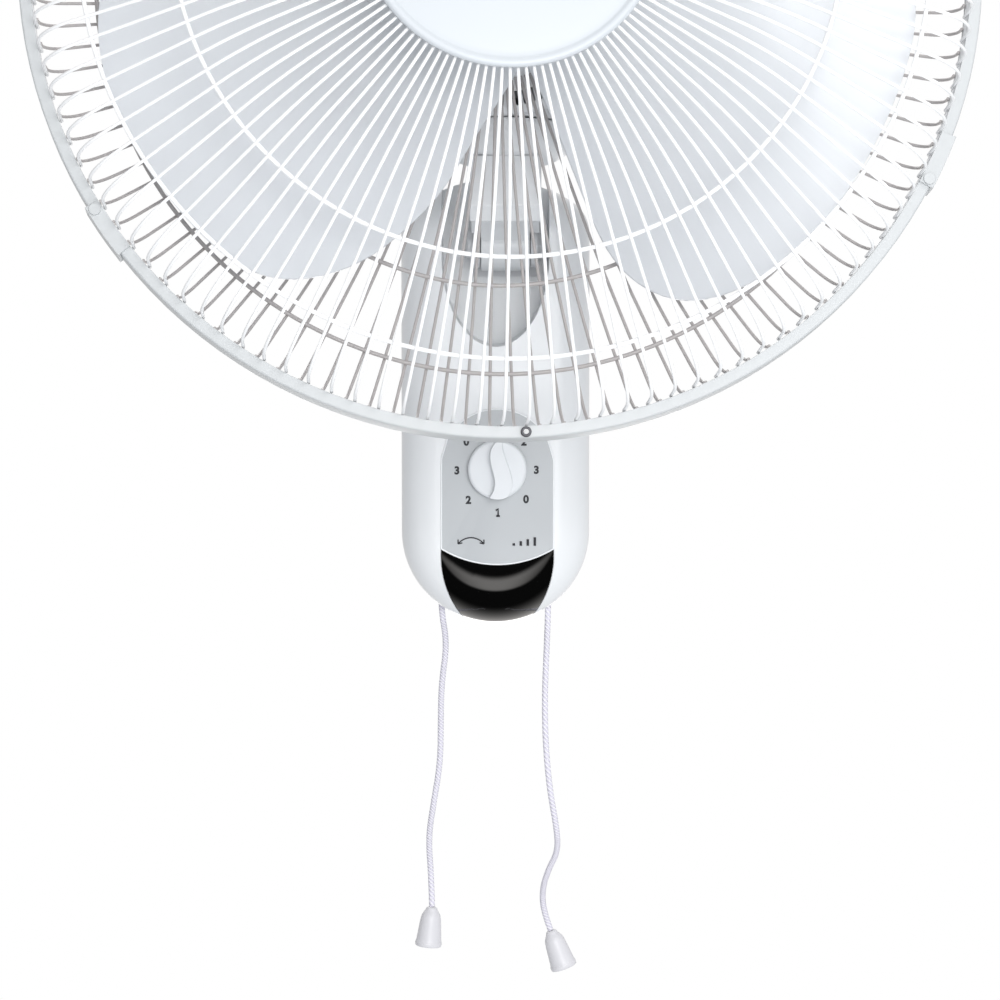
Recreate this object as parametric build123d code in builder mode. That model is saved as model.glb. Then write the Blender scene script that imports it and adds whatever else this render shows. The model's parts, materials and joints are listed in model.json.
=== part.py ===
from build123d import *
import math
import os

os.makedirs("parts", exist_ok=True)

# Wall mounted fan. Millimetres, +Z up, the wall is the plane y = 0 and the fan faces -Y.
# The origin is the centre of the wall plate's screw pattern, on the wall.

# ---------------------------------------------------------------- general fits
seat_gap = 0.05       # between pieces that lie against each other in one body
weld_gap = 0.02       # between guard wires and the rings they are welded to
running_gap = 0.05    # radial, between a shaft and its bore
moving_gap = 0.5      # between faces that pass each other

# ---------------------------------------------------------------- column
column_width = 94.6
column_depth = 96.0
column_wall = 2.6
column_crown = 114.0          # highest point of the arched top
column_crown_radius = 68.3
column_shoulder_radius = 19.0
column_base = -109.7          # lowest point of the curved bottom
column_foot_radius = 46.0
column_foot_angle = 22.0      # slope where the foot corner meets the bottom arc
column_edge_radius = 18.0     # rounding of the front edges
column_split = 40.0           # depth of the rear housing
back_recess = 3.0             # space behind the back wall for the wall plate
back_wall = 2.6

# ---------------------------------------------------------------- recess for the neck
recess_half_width = 26.8
recess_spring_height = 75.0   # where the straight sides turn into the curved bottom
recess_drop = 45.0
recess_floor = 46.0           # depth of the recess's back face from the wall

# ---------------------------------------------------------------- wall plate
plate_width = 62.0
plate_height = 120.0
plate_thickness = 2.0
plate_corner = 6.0
mount_spacing_x = 40.0
mount_spacing_z = 90.0
mount_hole_radius = 2.75
screw_access_radius = 6.0

# ---------------------------------------------------------------- tilt hinge and neck
neck_x = 5.0                  # the neck stands beside the column's middle
tilt_y = -70.0
tilt_z = 80.5
tilt_rest = 11.0              # the head looks up by this much as stored
knuckle_radius = 13.0
knuckle_width = 24.4
hinge_pin_radius = 4.0
hinge_head_radius = 7.0
hinge_head_height = 3.0
hinge_nut_height = 3.5
hinge_pin_end = 1.5           # how far the pin comes out of its nut
ear_thickness = 3.5
ear_radius = 11.5
bracket_plate = 2.5
bracket_height = 32.0
bracket_screw_radius = 2.0
bracket_screw_head = 3.6
bracket_screw_end = 1.5       # how far a bracket screw comes out behind the recess
neck_width = 34.0
neck_wall = 2.6
neck_reach = 83.7             # from the tilt pin forward to the swing axis
neck_heel = 5.0               # the arm's side view: forward and up from the tilt pin
neck_heel_top = 13.5
neck_shoulder = 14.0
neck_shoulder_top = 19.5
neck_back_top = 21.5
neck_throat = 22.0
neck_throat_top = 7.5
neck_nose = -1.0
neck_front = 17.0             # arm in front of the swing axis
neck_saddle = 30.0            # the arm's back starts to rise this far behind the swing axis
neck_chin = 8.0
neck_chin_drop = 5.0
neck_under = 3.5
neck_edge = 3.0
bowl_floor = 24.0
bowl_rim = 38.3
bowl_radius = 36.0
bowl_foot_radius = 17.0
bowl_lip = 2.0
bowl_belly = (5.0, 1.0)       # middle of the outer bend: in from the rim, and below half height
bowl_inner_belly = (6.0, 1.5)
bowl_foot_step = 1.0
core_hub_radius = 9.0
core_bar_width = 12.0
core_bar_top = 18.0
core_bar_bottom = 6.0
core_boss_bottom = -1.5
core_boss_radius = 9.0
core_boss_top = 27.0
core_bar_slope = 1.5
core_bar_heel = 2.0
core_bar_under = [(24.0, 10.8), (8.0, 4.0)]

# ---------------------------------------------------------------- swing joint
swing_rest = 2.75             # the head looks this much to the right as stored
swing_shaft_radius = 6.0
swing_shaft_foot = 1.0
swing_shaft_top = 57.0
swing_washer_thickness = 1.4
swing_sleeve_radius = 8.0
swing_sleeve_rise = 4.0

# ---------------------------------------------------------------- head
axle_height = 96.8            # motor axis above the tilt pin, square to the neck
axle_offset = -6.0            # motor axis beside the swing axis
rim_reach = 92.0              # guard's rim plane in front of the swing axis

# ---------------------------------------------------------------- motor, along its axis from the rim plane
cover_radius = 58.0
cover_wall = 2.6
cover_split = -52.0
cover_back = -154.0
cover_corner = 18.0
cover_post_circle = 32.0
cover_post_radius = 5.0
collar_radius = 36.0
collar_gap = 1.0              # between the motor cover's collar and the neck's bowl
front_cover_face = -43.0
front_cover_flat_radius = 40.0
front_cover_bend = (53.0, 2.4)          # middle of the bend outside: radius and drop from the face
front_cover_inner_bend = (51.0, 4.6)
cover_collar = 7.0
cover_collar_height = 1.5
vent_count = 90
vent_inner_radius = 43.5
vent_outer_radius = 55.5
vent_width = 1.9
back_vent_count = 36
back_vent_inner_radius = 12.0
back_vent_outer_radius = 25.0
back_vent_width = 2.0
bracket_disc_radius = 46.0
bracket_disc_thickness = 2.5
front_bracket_back = -54.0
rear_bracket_front = -106.0
bracket_foot_width = 30.0
nose_radius = 12.0
nose_front = -30.0
nose_gap = 0.3
support_top = -46.8           # top face of the support plate, below the motor axis
support_thickness = 3.5
support_width = 40.0
support_back = -138.0
stator_radius = 38.0
stator_bore_radius = 22.0
stator_front = -60.0
stator_back = -96.0
winding_inner_radius = 23.5
winding_outer_radius = 35.0
winding_length = 5.0
winding_edge = 2.0
stator_lug_radius = 5.0
rotor_radius = 21.6
shaft_radius = 4.0
shaft_back = -113.0
shaft_front = 34.0
bush_radius = 8.0
rear_hub_radius = 12.0
rear_hub_length = 8.0
motor_bolt_radius = 2.0
motor_bolt_circle = 42.0
motor_bolt_head_radius = 3.5
motor_bolt_head = 2.5

# ---------------------------------------------------------------- blade
blade_count = 3
blade_phase = -29.0           # middle of one blade, from the right-hand side, turning upwards
blade_thickness = 2.0
blade_camber = 4.0
blade_half_span = 150.0
# place along the blade, height of the blade's middle line there, and its slope
blade_stations = [(-10, -3, 0.66), (60, 2, 0.42), (110, 6, 0.28), (155, 9, 0.21), (198, 11, 0.19)]
# edges of one blade, as radius and angle from the blade's middle
blade_lead = [(26, -62), (72, -42), (116, -41), (150, -39), (174, -33)]
blade_tip = [(186, -22), (188.5, -2), (188.5, 12)]
blade_trail = [
    (184.5, 24), (172, 30.6), (154, 36.3), (136, 40.6), (115, 45.2), (92, 49.6), (58, 64), (26, 95),
]
blade_hub_radius = 30.0
blade_hub_wall = 2.6
blade_hub_back = -26.0
blade_hub_front = 26.0
blade_boss_radius = 10.0
drive_pin_radius = 1.5
drive_pin_length = 17.0
drive_pin_place = -24.4
blade_nut_radius = 14.0
blade_nut_length = 13.0
blade_nut_edge = 4.0

# ---------------------------------------------------------------- guard
guard_radius = 220.0
hoop_half_width = 7.5
hoop_wall = 1.4
hoop_depth = 5.5              # how far the hoop reaches in from its rim
hoop_edge = 1.0
rim_wire_radius = 2.2
wire_radius = 0.75
ring_wire_radius = 1.0
wire_count = 120
front_wire_phase = 197.85     # first front wire, from the right-hand side, turning upwards
rear_wire_shift = 1.75
wire_end_height = 1.5
# a wire's side view, by radius and height: its start, its knee and the height of its corner over the rim
front_wire_start = (46.0, 72.6)
front_wire_knee = (guard_radius - 93.6, 73.7)
front_wire_corner = 36.2
front_wire_bends = (90.0, 26.0)
front_ring_circles = (guard_radius - 71.5, guard_radius - 29.6)
rear_wire_start = (44.0, -39.2)
rear_wire_knee = (guard_radius - 90.0, -37.1)
rear_wire_corner = -15.8
rear_wire_bends = (90.0, 15.0)
rear_ring_circles = (guard_radius - 76.0, guard_radius - 33.0)
guard_plate_thickness = 1.4
rear_plate_radius = 50.0
front_plate_radius = 54.0
front_plate_drop = 0.12
guard_nut_radius = 22.0
guard_nut_length = 6.5
guard_nut_lobes = 12
guard_nut_scallop = 3.2
cap_radius = 67.0
cap_wall = 2.2
cap_rim_bottom = 75.6
cap_rim_height = 2.6
cap_rim_width = 3.4
cap_rim_groove = 0.7
cap_crown = 2.6
cap_crown_share = 0.72        # how much of the crown is left half-way out
cap_boss_radius = 6.0
cap_screw_radius = 2.0
cap_screw_head = 4.0
clip_count = 6
straight_down = -90.0
clip_phase = 2.7              # the screw's place, from straight down towards the right
clip_angle = 6.8
clip_step = 60.0
clip_thickness = 1.4
clip_lead = 0.8               # how far the clip reaches past its pin, in degrees
clip_pin_radius = 2.7
clip_pin_height = 1.2
hoop_screw_head_radius = 2.2
hoop_screw_head = 1.5

# ---------------------------------------------------------------- swing drive
swing_motor_radius = 17.0
swing_motor_height = 12.0
crank_reach = 34.0            # crank centre behind the swing axis
crank_throw = 9.18
crank_phase = 175.05          # crank pin's place, from the right-hand side, turning backwards
crank_radius = 12.0
crank_thickness = 1.4
crank_gap = 0.3
crank_pin_radius = 1.5
crank_shaft_radius = 2.5
crank_shaft_depth = 8.0
peg_distance = 15.0
peg_radius = 1.4
link_thickness = 1.4
link_half_width = 2.0
link_bow = (22.5, -2.8)       # the link bends round the swing sleeve here, from the crank pin
link_reach = 34.79            # from the crank pin to the middle of the eye
link_lean = 12.25             # the link points this much to the left of straight forward
link_eye_radius = 4.5
link_eye_hole = 3.1

# ---------------------------------------------------------------- controls
control_x = 1.0
panel_half_width = 28.0
panel_top = -1.0
panel_arch_side = (25.0, -16.0)
panel_side_top = -26.0
panel_shoulder_radius = 12.0
panel_side_bottom = -71.0
panel_bottom = -78.8
panel_thickness = 1.6
panel_seat = 1.1
panel_gap = 0.3
panel_edge = 0.4
knob_z = -31.0
knob_radius = 14.7
knob_base = 5.0
knob_grip = 7.0
knob_gap = 0.6
knob_edge = 1.6
knob_grip_sink = 0.5
knob_grip_left = [(-0.6, 14.2), (-3.5, 5.2), (-1.5, -3.7), (-4.0, -13.6)]
knob_grip_right = [(2.6, 14.2), (6.0, 0.2), (7.0, -9.8), (5.0, -13.2)]
knob_grip_foot = (0.8, -14.4)
spindle_radius = 3.0
spindle_back = 66.0
spindle_hole_radius = 5.0
cap_side = [(25.6, -90.0), (16.8, -106.5)]
cap_tongue = -114.0
cap_seat = 1.2
cap_proud = 0.5
chassis_thickness = 1.4
chassis_half_width = 28.0
chassis_bottom = -80.0
chassis_top = 20.0
chassis_corner = 12.0            # rounding of its bottom corners
speed_switch_size = 30.0
speed_switch_depth = 19.0
box_corner = 3.0              # corners of the switch and of the capacitor
lever_depth = 68.6            # lever's rear face from the wall
lever_thickness = 3.0
lever_length = 25.8
lever_angle = 22.5
lever_hub_radius = 7.0
lever_half_width = 3.0
rod_collar_drop = 10.0

# ---------------------------------------------------------------- pull cords
cord_radius = 1.5
cord_y = -70.0
# route of each cord, in x and z, from inside the housing down to its pull
swing_route = [
    (-27.8, -87.0), (-27.8, -104.0), (-24.6, -121.5), (-27.5, -142.0), (-27.9, -160.0),
    (-28.1, -183.0), (-32.0, -206.0), (-34.3, -222.0), (-32.9, -241.0), (-32.5, -257.0),
]
speed_route = [
    (26.8, -86.0), (26.8, -104.0), (26.1, -123.0), (25.1, -146.0), (25.3, -170.0), (27.5, -196.0),
    (31.4, -217.5), (31.9, -229.0), (26.9, -238.5), (23.9, -248.5), (24.5, -259.5), (28.2, -269.3),
]
swing_route_y = [0, 0, -0.6, -1.0, -0.4, 0.5, 0.8, 0.3, -0.3, -0.2]
speed_route_y = [0, 0, -0.4, -0.9, -1.1, -0.3, 0.6, 1.0, 0.7, 0.1, -0.3, -0.4]
bell_radius = 6.8
bell_length = 20.5
bell_dome = 6.5
bell_top_radius = 2.4
bell_shoulder_radius = 5.4
bell_dome_bend = (0.7, 0.45)  # middle of the dome: in from the shoulder, and share of its height
bell_seat = 0.2
swing_bell_lean = -5.5
speed_bell_lean = 20.0
eyelet_bore_radius = 2.3
eyelet_radius = 3.6
eyelet_flange_radius = 4.8
eyelet_flange = 1.0
eyelet_seat = -93.2           # underside of the eyelets' flanges, inside the column

# ---------------------------------------------------------------- inside the column
swing_switch_width = 14.0
swing_switch_depth = 30.0
swing_switch_bottom = -58.0
swing_switch_top = -34.0
swing_switch_floor = 3.0
swing_switch_roof = 2.0
plunger_radius = 1.5
plunger_collar_radius = 3.6
plunger_collar = 2.0
plunger_top = -39.0
spring_radius = 3.4
spring_wall = 0.8
rod_gap = 1.5                 # between the rod's top and the lever's end
speed_guide_width = 9.0
speed_guide_height = 4.0
speed_guide_depth = 28.0
speed_guide_bottom = -79.0
capacitor_size = (38.0, 16.0, 26.0)
capacitor_place = (0.0, 4.0)
terminal_size = (34.0, 14.0, 16.0)
terminal_place = (0.0, -80.0)
terminal_hole_radius = 2.0
terminal_hole_depth = 4.0
grommet_y = -20.0
grommet_bore_radius = 3.6
grommet_radius = 6.0
grommet_flange_radius = 8.0
grommet_flange = 1.6
grommet_seat = 0.9
housing_screw_radius = 1.8
housing_screw_head = 3.2
screw_head_height = 2.0
screw_end_gap = 3.0           # between a housing screw's end and its hole's end
housing_post_radius = 4.2
housing_screws = [(-38.5, 78.0), (38.5, 78.0), (-36.0, -82.0), (36.0, -82.0)]

# ================================================================ planes
tilt = math.radians(tilt_rest)
swing = math.radians(swing_rest)
neck_up = Vector(0, math.sin(tilt), math.cos(tilt))
neck_forward = Vector(0, -math.cos(tilt), math.sin(tilt))
right = Vector(1, 0, 0)
head_forward = neck_forward * math.cos(swing) + right * math.sin(swing)
head_right = right * math.cos(swing) - neck_forward * math.sin(swing)

tilt_centre = Vector(neck_x, tilt_y, tilt_z)
swing_centre = tilt_centre + neck_forward * neck_reach
rim_centre = swing_centre + neck_up * axle_height + head_right * axle_offset + head_forward * rim_reach

# side view of the neck: local x forward, local y up
neck_side = Plane(origin=tilt_centre, x_dir=neck_forward, z_dir=(-1, 0, 0))
# across the swing shaft, fixed to the neck: local z up the shaft, local -y forward
neck_level = Plane(origin=swing_centre, x_dir=right, z_dir=neck_up)
# the same, turned with the head
head_level = Plane(origin=swing_centre, x_dir=head_right, z_dir=neck_up)
# the guard's rim plane: local x right, local y up, local z forward along the motor axis
head = Plane(origin=rim_centre, x_dir=head_right, z_dir=head_forward)
# a plane through the motor axis: local x outwards, local y forward
meridian = Plane(origin=rim_centre, x_dir=head_right, z_dir=neck_up * -1)
motor_axis = Axis(rim_centre, head_forward)
swing_axis = Axis(swing_centre, neck_up)


# ================================================================ shared forms
def column_outline(inset):
    """Front view of the column in x and z, drawn in by inset all round."""
    half = column_width / 2 - inset
    foot = math.radians(column_foot_angle)
    foot_centre_x = column_width / 2 - column_foot_radius
    bottom_radius = foot_centre_x / math.sin(foot) + column_foot_radius
    bottom_centre = column_base + bottom_radius
    foot_centre_z = bottom_centre - (bottom_radius - column_foot_radius) * math.cos(foot)
    foot_radius = column_foot_radius - inset
    crown_centre = column_crown - column_crown_radius
    crown_radius = column_crown_radius - inset
    shoulder_z = crown_centre + math.sqrt(crown_radius**2 - half**2)
    meet_x = foot_centre_x + foot_radius * math.sin(foot)
    meet_z = foot_centre_z - foot_radius * math.cos(foot)
    bend = math.radians((90 - column_foot_angle) / 2)
    bend_x = foot_centre_x + foot_radius * math.cos(bend)
    bend_z = foot_centre_z - foot_radius * math.sin(bend)
    with BuildSketch() as outline:
        with BuildLine():
            ThreePointArc((-half, shoulder_z), (0, column_crown - inset), (half, shoulder_z))
            Line((half, shoulder_z), (half, foot_centre_z))
            ThreePointArc((half, foot_centre_z), (bend_x, bend_z), (meet_x, meet_z))
            ThreePointArc((meet_x, meet_z), (0, column_base + inset), (-meet_x, meet_z))
            ThreePointArc((-meet_x, meet_z), (-bend_x, bend_z), (-half, foot_centre_z))
            Line((-half, foot_centre_z), (-half, shoulder_z))
        make_face()
        fillet(outline.vertices().group_by(Axis.Y)[-1], radius=column_shoulder_radius - inset)
    return outline.sketch


def column_form(inset):
    """The column as a solid block, drawn in by inset on every side but the back."""
    with BuildPart() as form:
        with BuildSketch(Plane.XZ):
            add(column_outline(inset))
        extrude(amount=column_depth - inset)
        fillet(form.faces().sort_by(Axis.Y)[0].edges(), radius=column_edge_radius - inset)
    return form.part


def recess_outline(grow):
    """The recess in front view, grown by grow, open past the top of the column."""
    half = recess_half_width + grow
    with BuildSketch() as outline:
        with Locations((0, recess_spring_height)):
            Ellipse(half, recess_drop + grow)
        with Locations((0, recess_spring_height)):
            Rectangle(2 * half, column_crown, align=(Align.CENTER, Align.MIN))
    return outline.sketch


def panel_outline(grow):
    """The control panel in front view, grown by grow."""
    half = panel_half_width
    arch_x, arch_z = panel_arch_side
    with BuildSketch() as outline:
        with BuildLine():
            ThreePointArc((-arch_x, arch_z), (0, panel_top), (arch_x, arch_z))
            Line((arch_x, arch_z), (half, panel_side_top))
            Line((half, panel_side_top), (half, panel_side_bottom))
            ThreePointArc((half, panel_side_bottom), (0, panel_bottom), (-half, panel_side_bottom))
            Line((-half, panel_side_bottom), (-half, panel_side_top))
            Line((-half, panel_side_top), (-arch_x, arch_z))
        make_face()
        shoulders = outline.vertices().group_by(Axis.Y)[1]
        fillet(shoulders, radius=panel_shoulder_radius)
        if grow:
            offset(amount=grow)
    with BuildSketch() as placed:
        with Locations((control_x, 0)):
            add(outline.sketch)
    return placed.sketch


def lower_cap_outline(grow):
    """The black lower cap in front view, under the panel's bottom edge."""
    half = panel_half_width
    right_side = [(half, panel_side_bottom)] + cap_side
    left_side = [(-x, z) for x, z in reversed(right_side)]
    with BuildSketch() as outline:
        with BuildLine():
            ThreePointArc((-half, panel_side_bottom), (0, panel_bottom), (half, panel_side_bottom))
            ThreePointArc(*right_side)
            ThreePointArc(right_side[-1], (0, cap_tongue), left_side[0])
            ThreePointArc(*left_side)
        make_face()
        if grow:
            offset(amount=grow)
    with BuildSketch() as placed:
        with Locations((control_x, -panel_gap)):
            add(outline.sketch)
    return placed.sketch


def spread(route, shifts):
    """The points of a cord's route in space."""
    return [Vector(x, cord_y + shift, z) for (x, z), shift in zip(route, shifts)]


def arc_radii(points):
    """The largest fair arc at each inner point of a route."""
    radii = []
    for before, here, after in zip(points, points[1:], points[2:]):
        shorter = min((here - before).length, (after - here).length)
        turn = math.radians((here - before).get_angle(after - here))
        radii.append(0.45 * shorter / math.tan(turn / 2))
    return radii


def bent_tube(points, bends, radius):
    """A round tube of straight runs joined by tangent arcs, and the length of its middle line."""
    with BuildPart() as tube:
        with BuildLine() as route:
            FilletPolyline(*points, radius=bends)
        with BuildSketch(Plane(origin=route.line @ 0, z_dir=route.line % 0)):
            Circle(radius)
        sweep(path=route.line)
    return tube.part, route.wires()[0].length


# ================================================================ column
with BuildPart() as wall_plate:
    with BuildSketch(Plane.XZ):
        RectangleRounded(plate_width, plate_height, plate_corner)
        with GridLocations(mount_spacing_x, mount_spacing_z, 2, 2):
            Circle(mount_hole_radius, mode=Mode.SUBTRACT)
    extrude(amount=plate_thickness)
wall_plate.part.label = "wall_plate"
export_step(wall_plate.part, "parts/wall_plate.step")

with BuildPart() as rear_housing:
    add(column_form(0))
    add(column_form(column_wall), mode=Mode.SUBTRACT)
    split(bisect_by=Plane.XZ.offset(column_split), keep=Keep.BOTTOM)
    with BuildSketch(Plane.XZ.offset(back_recess)):
        add(column_outline(column_wall / 2))
        with GridLocations(mount_spacing_x, mount_spacing_z, 2, 2):
            Circle(screw_access_radius, mode=Mode.SUBTRACT)
    extrude(amount=back_wall)
    with BuildSketch(Plane.XZ.offset(back_recess + back_wall)):
        with Locations(*housing_screws):
            Circle(housing_post_radius)
    extrude(amount=column_split - back_recess - back_wall)
    with BuildSketch(Plane.XZ.offset(back_recess)):
        with Locations(*housing_screws):
            Circle(housing_screw_head + running_gap)
    extrude(amount=column_split / 2 - back_recess, mode=Mode.SUBTRACT)
    with BuildSketch(Plane.XZ):
        with Locations(*housing_screws):
            Circle(housing_screw_radius + running_gap)
    extrude(amount=column_split, mode=Mode.SUBTRACT)
    with BuildSketch(Plane.XY.offset(column_base)):
        with Locations((0, grommet_y)):
            Circle(grommet_radius)
    extrude(amount=column_wall + column_edge_radius, mode=Mode.SUBTRACT)
rear_housing.part.label = "rear_housing"
export_step(rear_housing.part, "parts/rear_housing.step")

with BuildPart() as recess_hollow:
    with BuildSketch(Plane.XZ.offset(recess_floor)):
        add(recess_outline(0))
    extrude(amount=column_depth)

with BuildPart() as recess_lining:
    with BuildSketch(Plane.XZ.offset(recess_floor - column_wall)):
        add(recess_outline(column_wall))
    extrude(amount=column_depth)
    add(column_form(0), mode=Mode.INTERSECT)

with BuildPart() as cap_skin:
    with BuildSketch(Plane.XZ):
        add(lower_cap_outline(panel_gap))
    extrude(amount=column_depth + column_wall)
    add(column_form(cap_seat), mode=Mode.SUBTRACT)

front_face = Plane.XZ.offset(column_depth)
eyelet_places = [(swing_route[0][0], cord_y), (speed_route[0][0], cord_y)]

with BuildPart() as front_housing:
    add(column_form(0))
    add(column_form(column_wall), mode=Mode.SUBTRACT)
    split(bisect_by=Plane.XZ.offset(column_split), keep=Keep.TOP)
    add(recess_lining.part)
    add(recess_hollow.part, mode=Mode.SUBTRACT)
    with BuildSketch(Plane.XZ.offset(column_split)):
        with Locations(*housing_screws):
            Circle(housing_post_radius)
    extrude(amount=column_depth - column_split)
    add(column_form(0), mode=Mode.INTERSECT)
    with BuildSketch(Plane.XZ.offset(column_split)):
        with Locations(*housing_screws):
            Circle(housing_screw_radius)
    extrude(amount=column_split / 2, mode=Mode.SUBTRACT)
    with BuildSketch(front_face):
        add(panel_outline(panel_gap))
    extrude(amount=-panel_seat, mode=Mode.SUBTRACT)
    add(cap_skin.part, mode=Mode.SUBTRACT)
    with BuildSketch(front_face):
        with Locations((control_x, knob_z)):
            Circle(spindle_hole_radius)
    extrude(amount=-2 * column_wall, mode=Mode.SUBTRACT)
    with BuildSketch(Plane.XY.offset(column_base)):
        with Locations(*eyelet_places):
            Circle(eyelet_radius)
    extrude(amount=column_foot_radius / 2, mode=Mode.SUBTRACT)
    with BuildSketch(Plane.XZ.offset(recess_floor)):
        with Locations((neck_x, tilt_z)):
            with GridLocations(bracket_height / 2, bracket_height / 2, 2, 1):
                Circle(bracket_screw_radius)
    extrude(amount=-column_wall, mode=Mode.SUBTRACT)
front_housing.part.label = "front_housing"
export_step(front_housing.part, "parts/front_housing.step")

with BuildPart() as control_panel:
    with BuildSketch(front_face.offset(-panel_seat)):
        add(panel_outline(0))
        with Locations((control_x, knob_z)):
            Circle(spindle_hole_radius, mode=Mode.SUBTRACT)
    extrude(amount=panel_thickness)
    fillet(control_panel.faces().sort_by(Axis.Y)[0].outer_wire().edges(), radius=panel_edge)
control_panel.part.label = "control_panel"
export_step(control_panel.part, "parts/control_panel.step")

with BuildPart() as lower_cap:
    with BuildSketch(Plane.XZ.offset(column_split + column_edge_radius)):
        add(lower_cap_outline(0))
    extrude(amount=column_depth)
    add(column_form(-cap_proud), mode=Mode.INTERSECT)
    add(column_form(cap_seat), mode=Mode.SUBTRACT)
lower_cap.part.label = "lower_cap"
export_step(lower_cap.part, "parts/lower_cap.step")

with BuildPart() as cord_eyelets:
    with BuildSketch(Plane.XY.offset(column_base)):
        with Locations(*eyelet_places):
            Circle(eyelet_radius)
    extrude(amount=eyelet_seat - column_base)
    add(column_form(0), mode=Mode.INTERSECT)
    with BuildSketch(Plane.XY.offset(eyelet_seat)):
        with Locations(*eyelet_places):
            Circle(eyelet_flange_radius)
    extrude(amount=eyelet_flange)
    with BuildSketch(Plane.XY.offset(column_base)):
        with Locations(*eyelet_places):
            Circle(eyelet_bore_radius)
    extrude(amount=eyelet_seat + eyelet_flange - column_base, mode=Mode.SUBTRACT)
cord_eyelets.part.label = "cord_eyelets"
export_step(cord_eyelets.part, "parts/cord_eyelets.step")

with BuildPart() as mains_grommet:
    with BuildSketch(Plane.XY.offset(column_base - grommet_flange)):
        with Locations((0, grommet_y)):
            Circle(grommet_flange_radius)
    extrude(amount=grommet_flange)
    with BuildSketch(Plane.XY.offset(column_base)):
        with Locations((0, grommet_y)):
            Circle(grommet_radius)
    extrude(amount=column_wall + grommet_seat)
    with BuildSketch(Plane.XY.offset(column_base + column_wall + grommet_seat)):
        with Locations((0, grommet_y)):
            Circle(grommet_flange_radius)
    extrude(amount=grommet_flange)
    with BuildSketch(Plane.XY.offset(column_base - grommet_flange)):
        with Locations((0, grommet_y)):
            Circle(grommet_bore_radius)
    extrude(amount=2 * grommet_flange + column_wall + grommet_seat, mode=Mode.SUBTRACT)
mains_grommet.part.label = "mains_grommet"
export_step(mains_grommet.part, "parts/mains_grommet.step")

# ---------------------------------------------------------------- parts inside the column
inner_front = column_depth - column_wall
switch_front = inner_front - chassis_thickness
swing_x = swing_route[0][0]
speed_x = speed_route[0][0]

with BuildPart() as chassis_plate:
    with BuildSketch(Plane.XZ.offset(inner_front - chassis_thickness)):
        with Locations((0, chassis_bottom)):
            Rectangle(2 * chassis_half_width, chassis_top - chassis_bottom, align=(Align.CENTER, Align.MIN))
        fillet(vertices().group_by(Axis.Y)[0], radius=chassis_corner)
        with Locations((control_x, knob_z)):
            Circle(spindle_hole_radius, mode=Mode.SUBTRACT)
    extrude(amount=chassis_thickness)
    with BuildSketch(Plane.XZ.offset(switch_front - speed_guide_depth)):
        with Locations((speed_x - speed_guide_width / 2, speed_guide_bottom)):
            Rectangle(speed_guide_width, speed_guide_height, align=(Align.MIN, Align.MIN))
    extrude(amount=speed_guide_depth)
    with BuildSketch(Plane.XY.offset(speed_guide_bottom)):
        with Locations((speed_x, cord_y)):
            Circle(plunger_radius + running_gap)
    extrude(amount=speed_guide_height, mode=Mode.SUBTRACT)
chassis_plate.part.label = "chassis_plate"
export_step(chassis_plate.part, "parts/chassis_plate.step")

with BuildPart() as speed_switch:
    with BuildSketch(Plane.XZ.offset(switch_front - speed_switch_depth)):
        with Locations((control_x, knob_z)):
            RectangleRounded(speed_switch_size, speed_switch_size, box_corner)
            Circle(spindle_radius + running_gap, mode=Mode.SUBTRACT)
    extrude(amount=speed_switch_depth)
speed_switch.part.label = "speed_switch"
export_step(speed_switch.part, "parts/speed_switch.step")

swing_bore = plunger_collar_radius + moving_gap
swing_spring_seat = swing_switch_bottom + swing_switch_floor

with BuildPart() as swing_switch:
    with BuildSketch(Plane.XZ.offset(switch_front - swing_switch_depth)):
        with Locations((swing_x, (swing_switch_bottom + swing_switch_top) / 2)):
            Rectangle(swing_switch_width, swing_switch_top - swing_switch_bottom)
    extrude(amount=swing_switch_depth)
    with BuildSketch(Plane.XY.offset(swing_spring_seat)):
        with Locations((swing_x, cord_y)):
            Circle(swing_bore)
    extrude(amount=swing_switch_top - swing_switch_roof - swing_spring_seat, mode=Mode.SUBTRACT)
    with BuildSketch(Plane.XY.offset(swing_switch_bottom)):
        with Locations((swing_x, cord_y)):
            Circle(plunger_radius + running_gap)
    extrude(amount=swing_switch_floor, mode=Mode.SUBTRACT)
swing_switch.part.label = "swing_switch"
export_step(swing_switch.part, "parts/swing_switch.step")

with BuildPart() as swing_plunger:
    with BuildSketch(Plane.XY.offset(swing_route[0][1])):
        with Locations((swing_x, cord_y)):
            Circle(plunger_radius)
    extrude(amount=plunger_top - swing_route[0][1])
    with BuildSketch(Plane.XY.offset(plunger_top - plunger_collar)):
        with Locations((swing_x, cord_y)):
            Circle(plunger_collar_radius)
    extrude(amount=plunger_collar)
swing_plunger.part.label = "swing_plunger"
export_step(swing_plunger.part, "parts/swing_plunger.step")

with BuildPart() as swing_spring:
    with BuildSketch(Plane.XY.offset(swing_spring_seat + seat_gap)):
        with Locations((swing_x, cord_y)):
            Circle(spring_radius)
            Circle(spring_radius - spring_wall, mode=Mode.SUBTRACT)
    extrude(amount=plunger_top - plunger_collar - swing_spring_seat - 2 * seat_gap)
swing_spring.part.label = "swing_spring"
export_step(swing_spring.part, "parts/swing_spring.step")

with BuildPart() as switch_spindle:
    with BuildSketch(Plane.XZ.offset(spindle_back)):
        with Locations((control_x, knob_z)):
            Circle(spindle_radius)
    extrude(amount=column_depth + knob_gap + knob_base - spindle_back)
switch_spindle.part.label = "switch_spindle"
export_step(switch_spindle.part, "parts/switch_spindle.step")

knob_back = column_depth - panel_seat + panel_thickness + knob_gap

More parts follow.
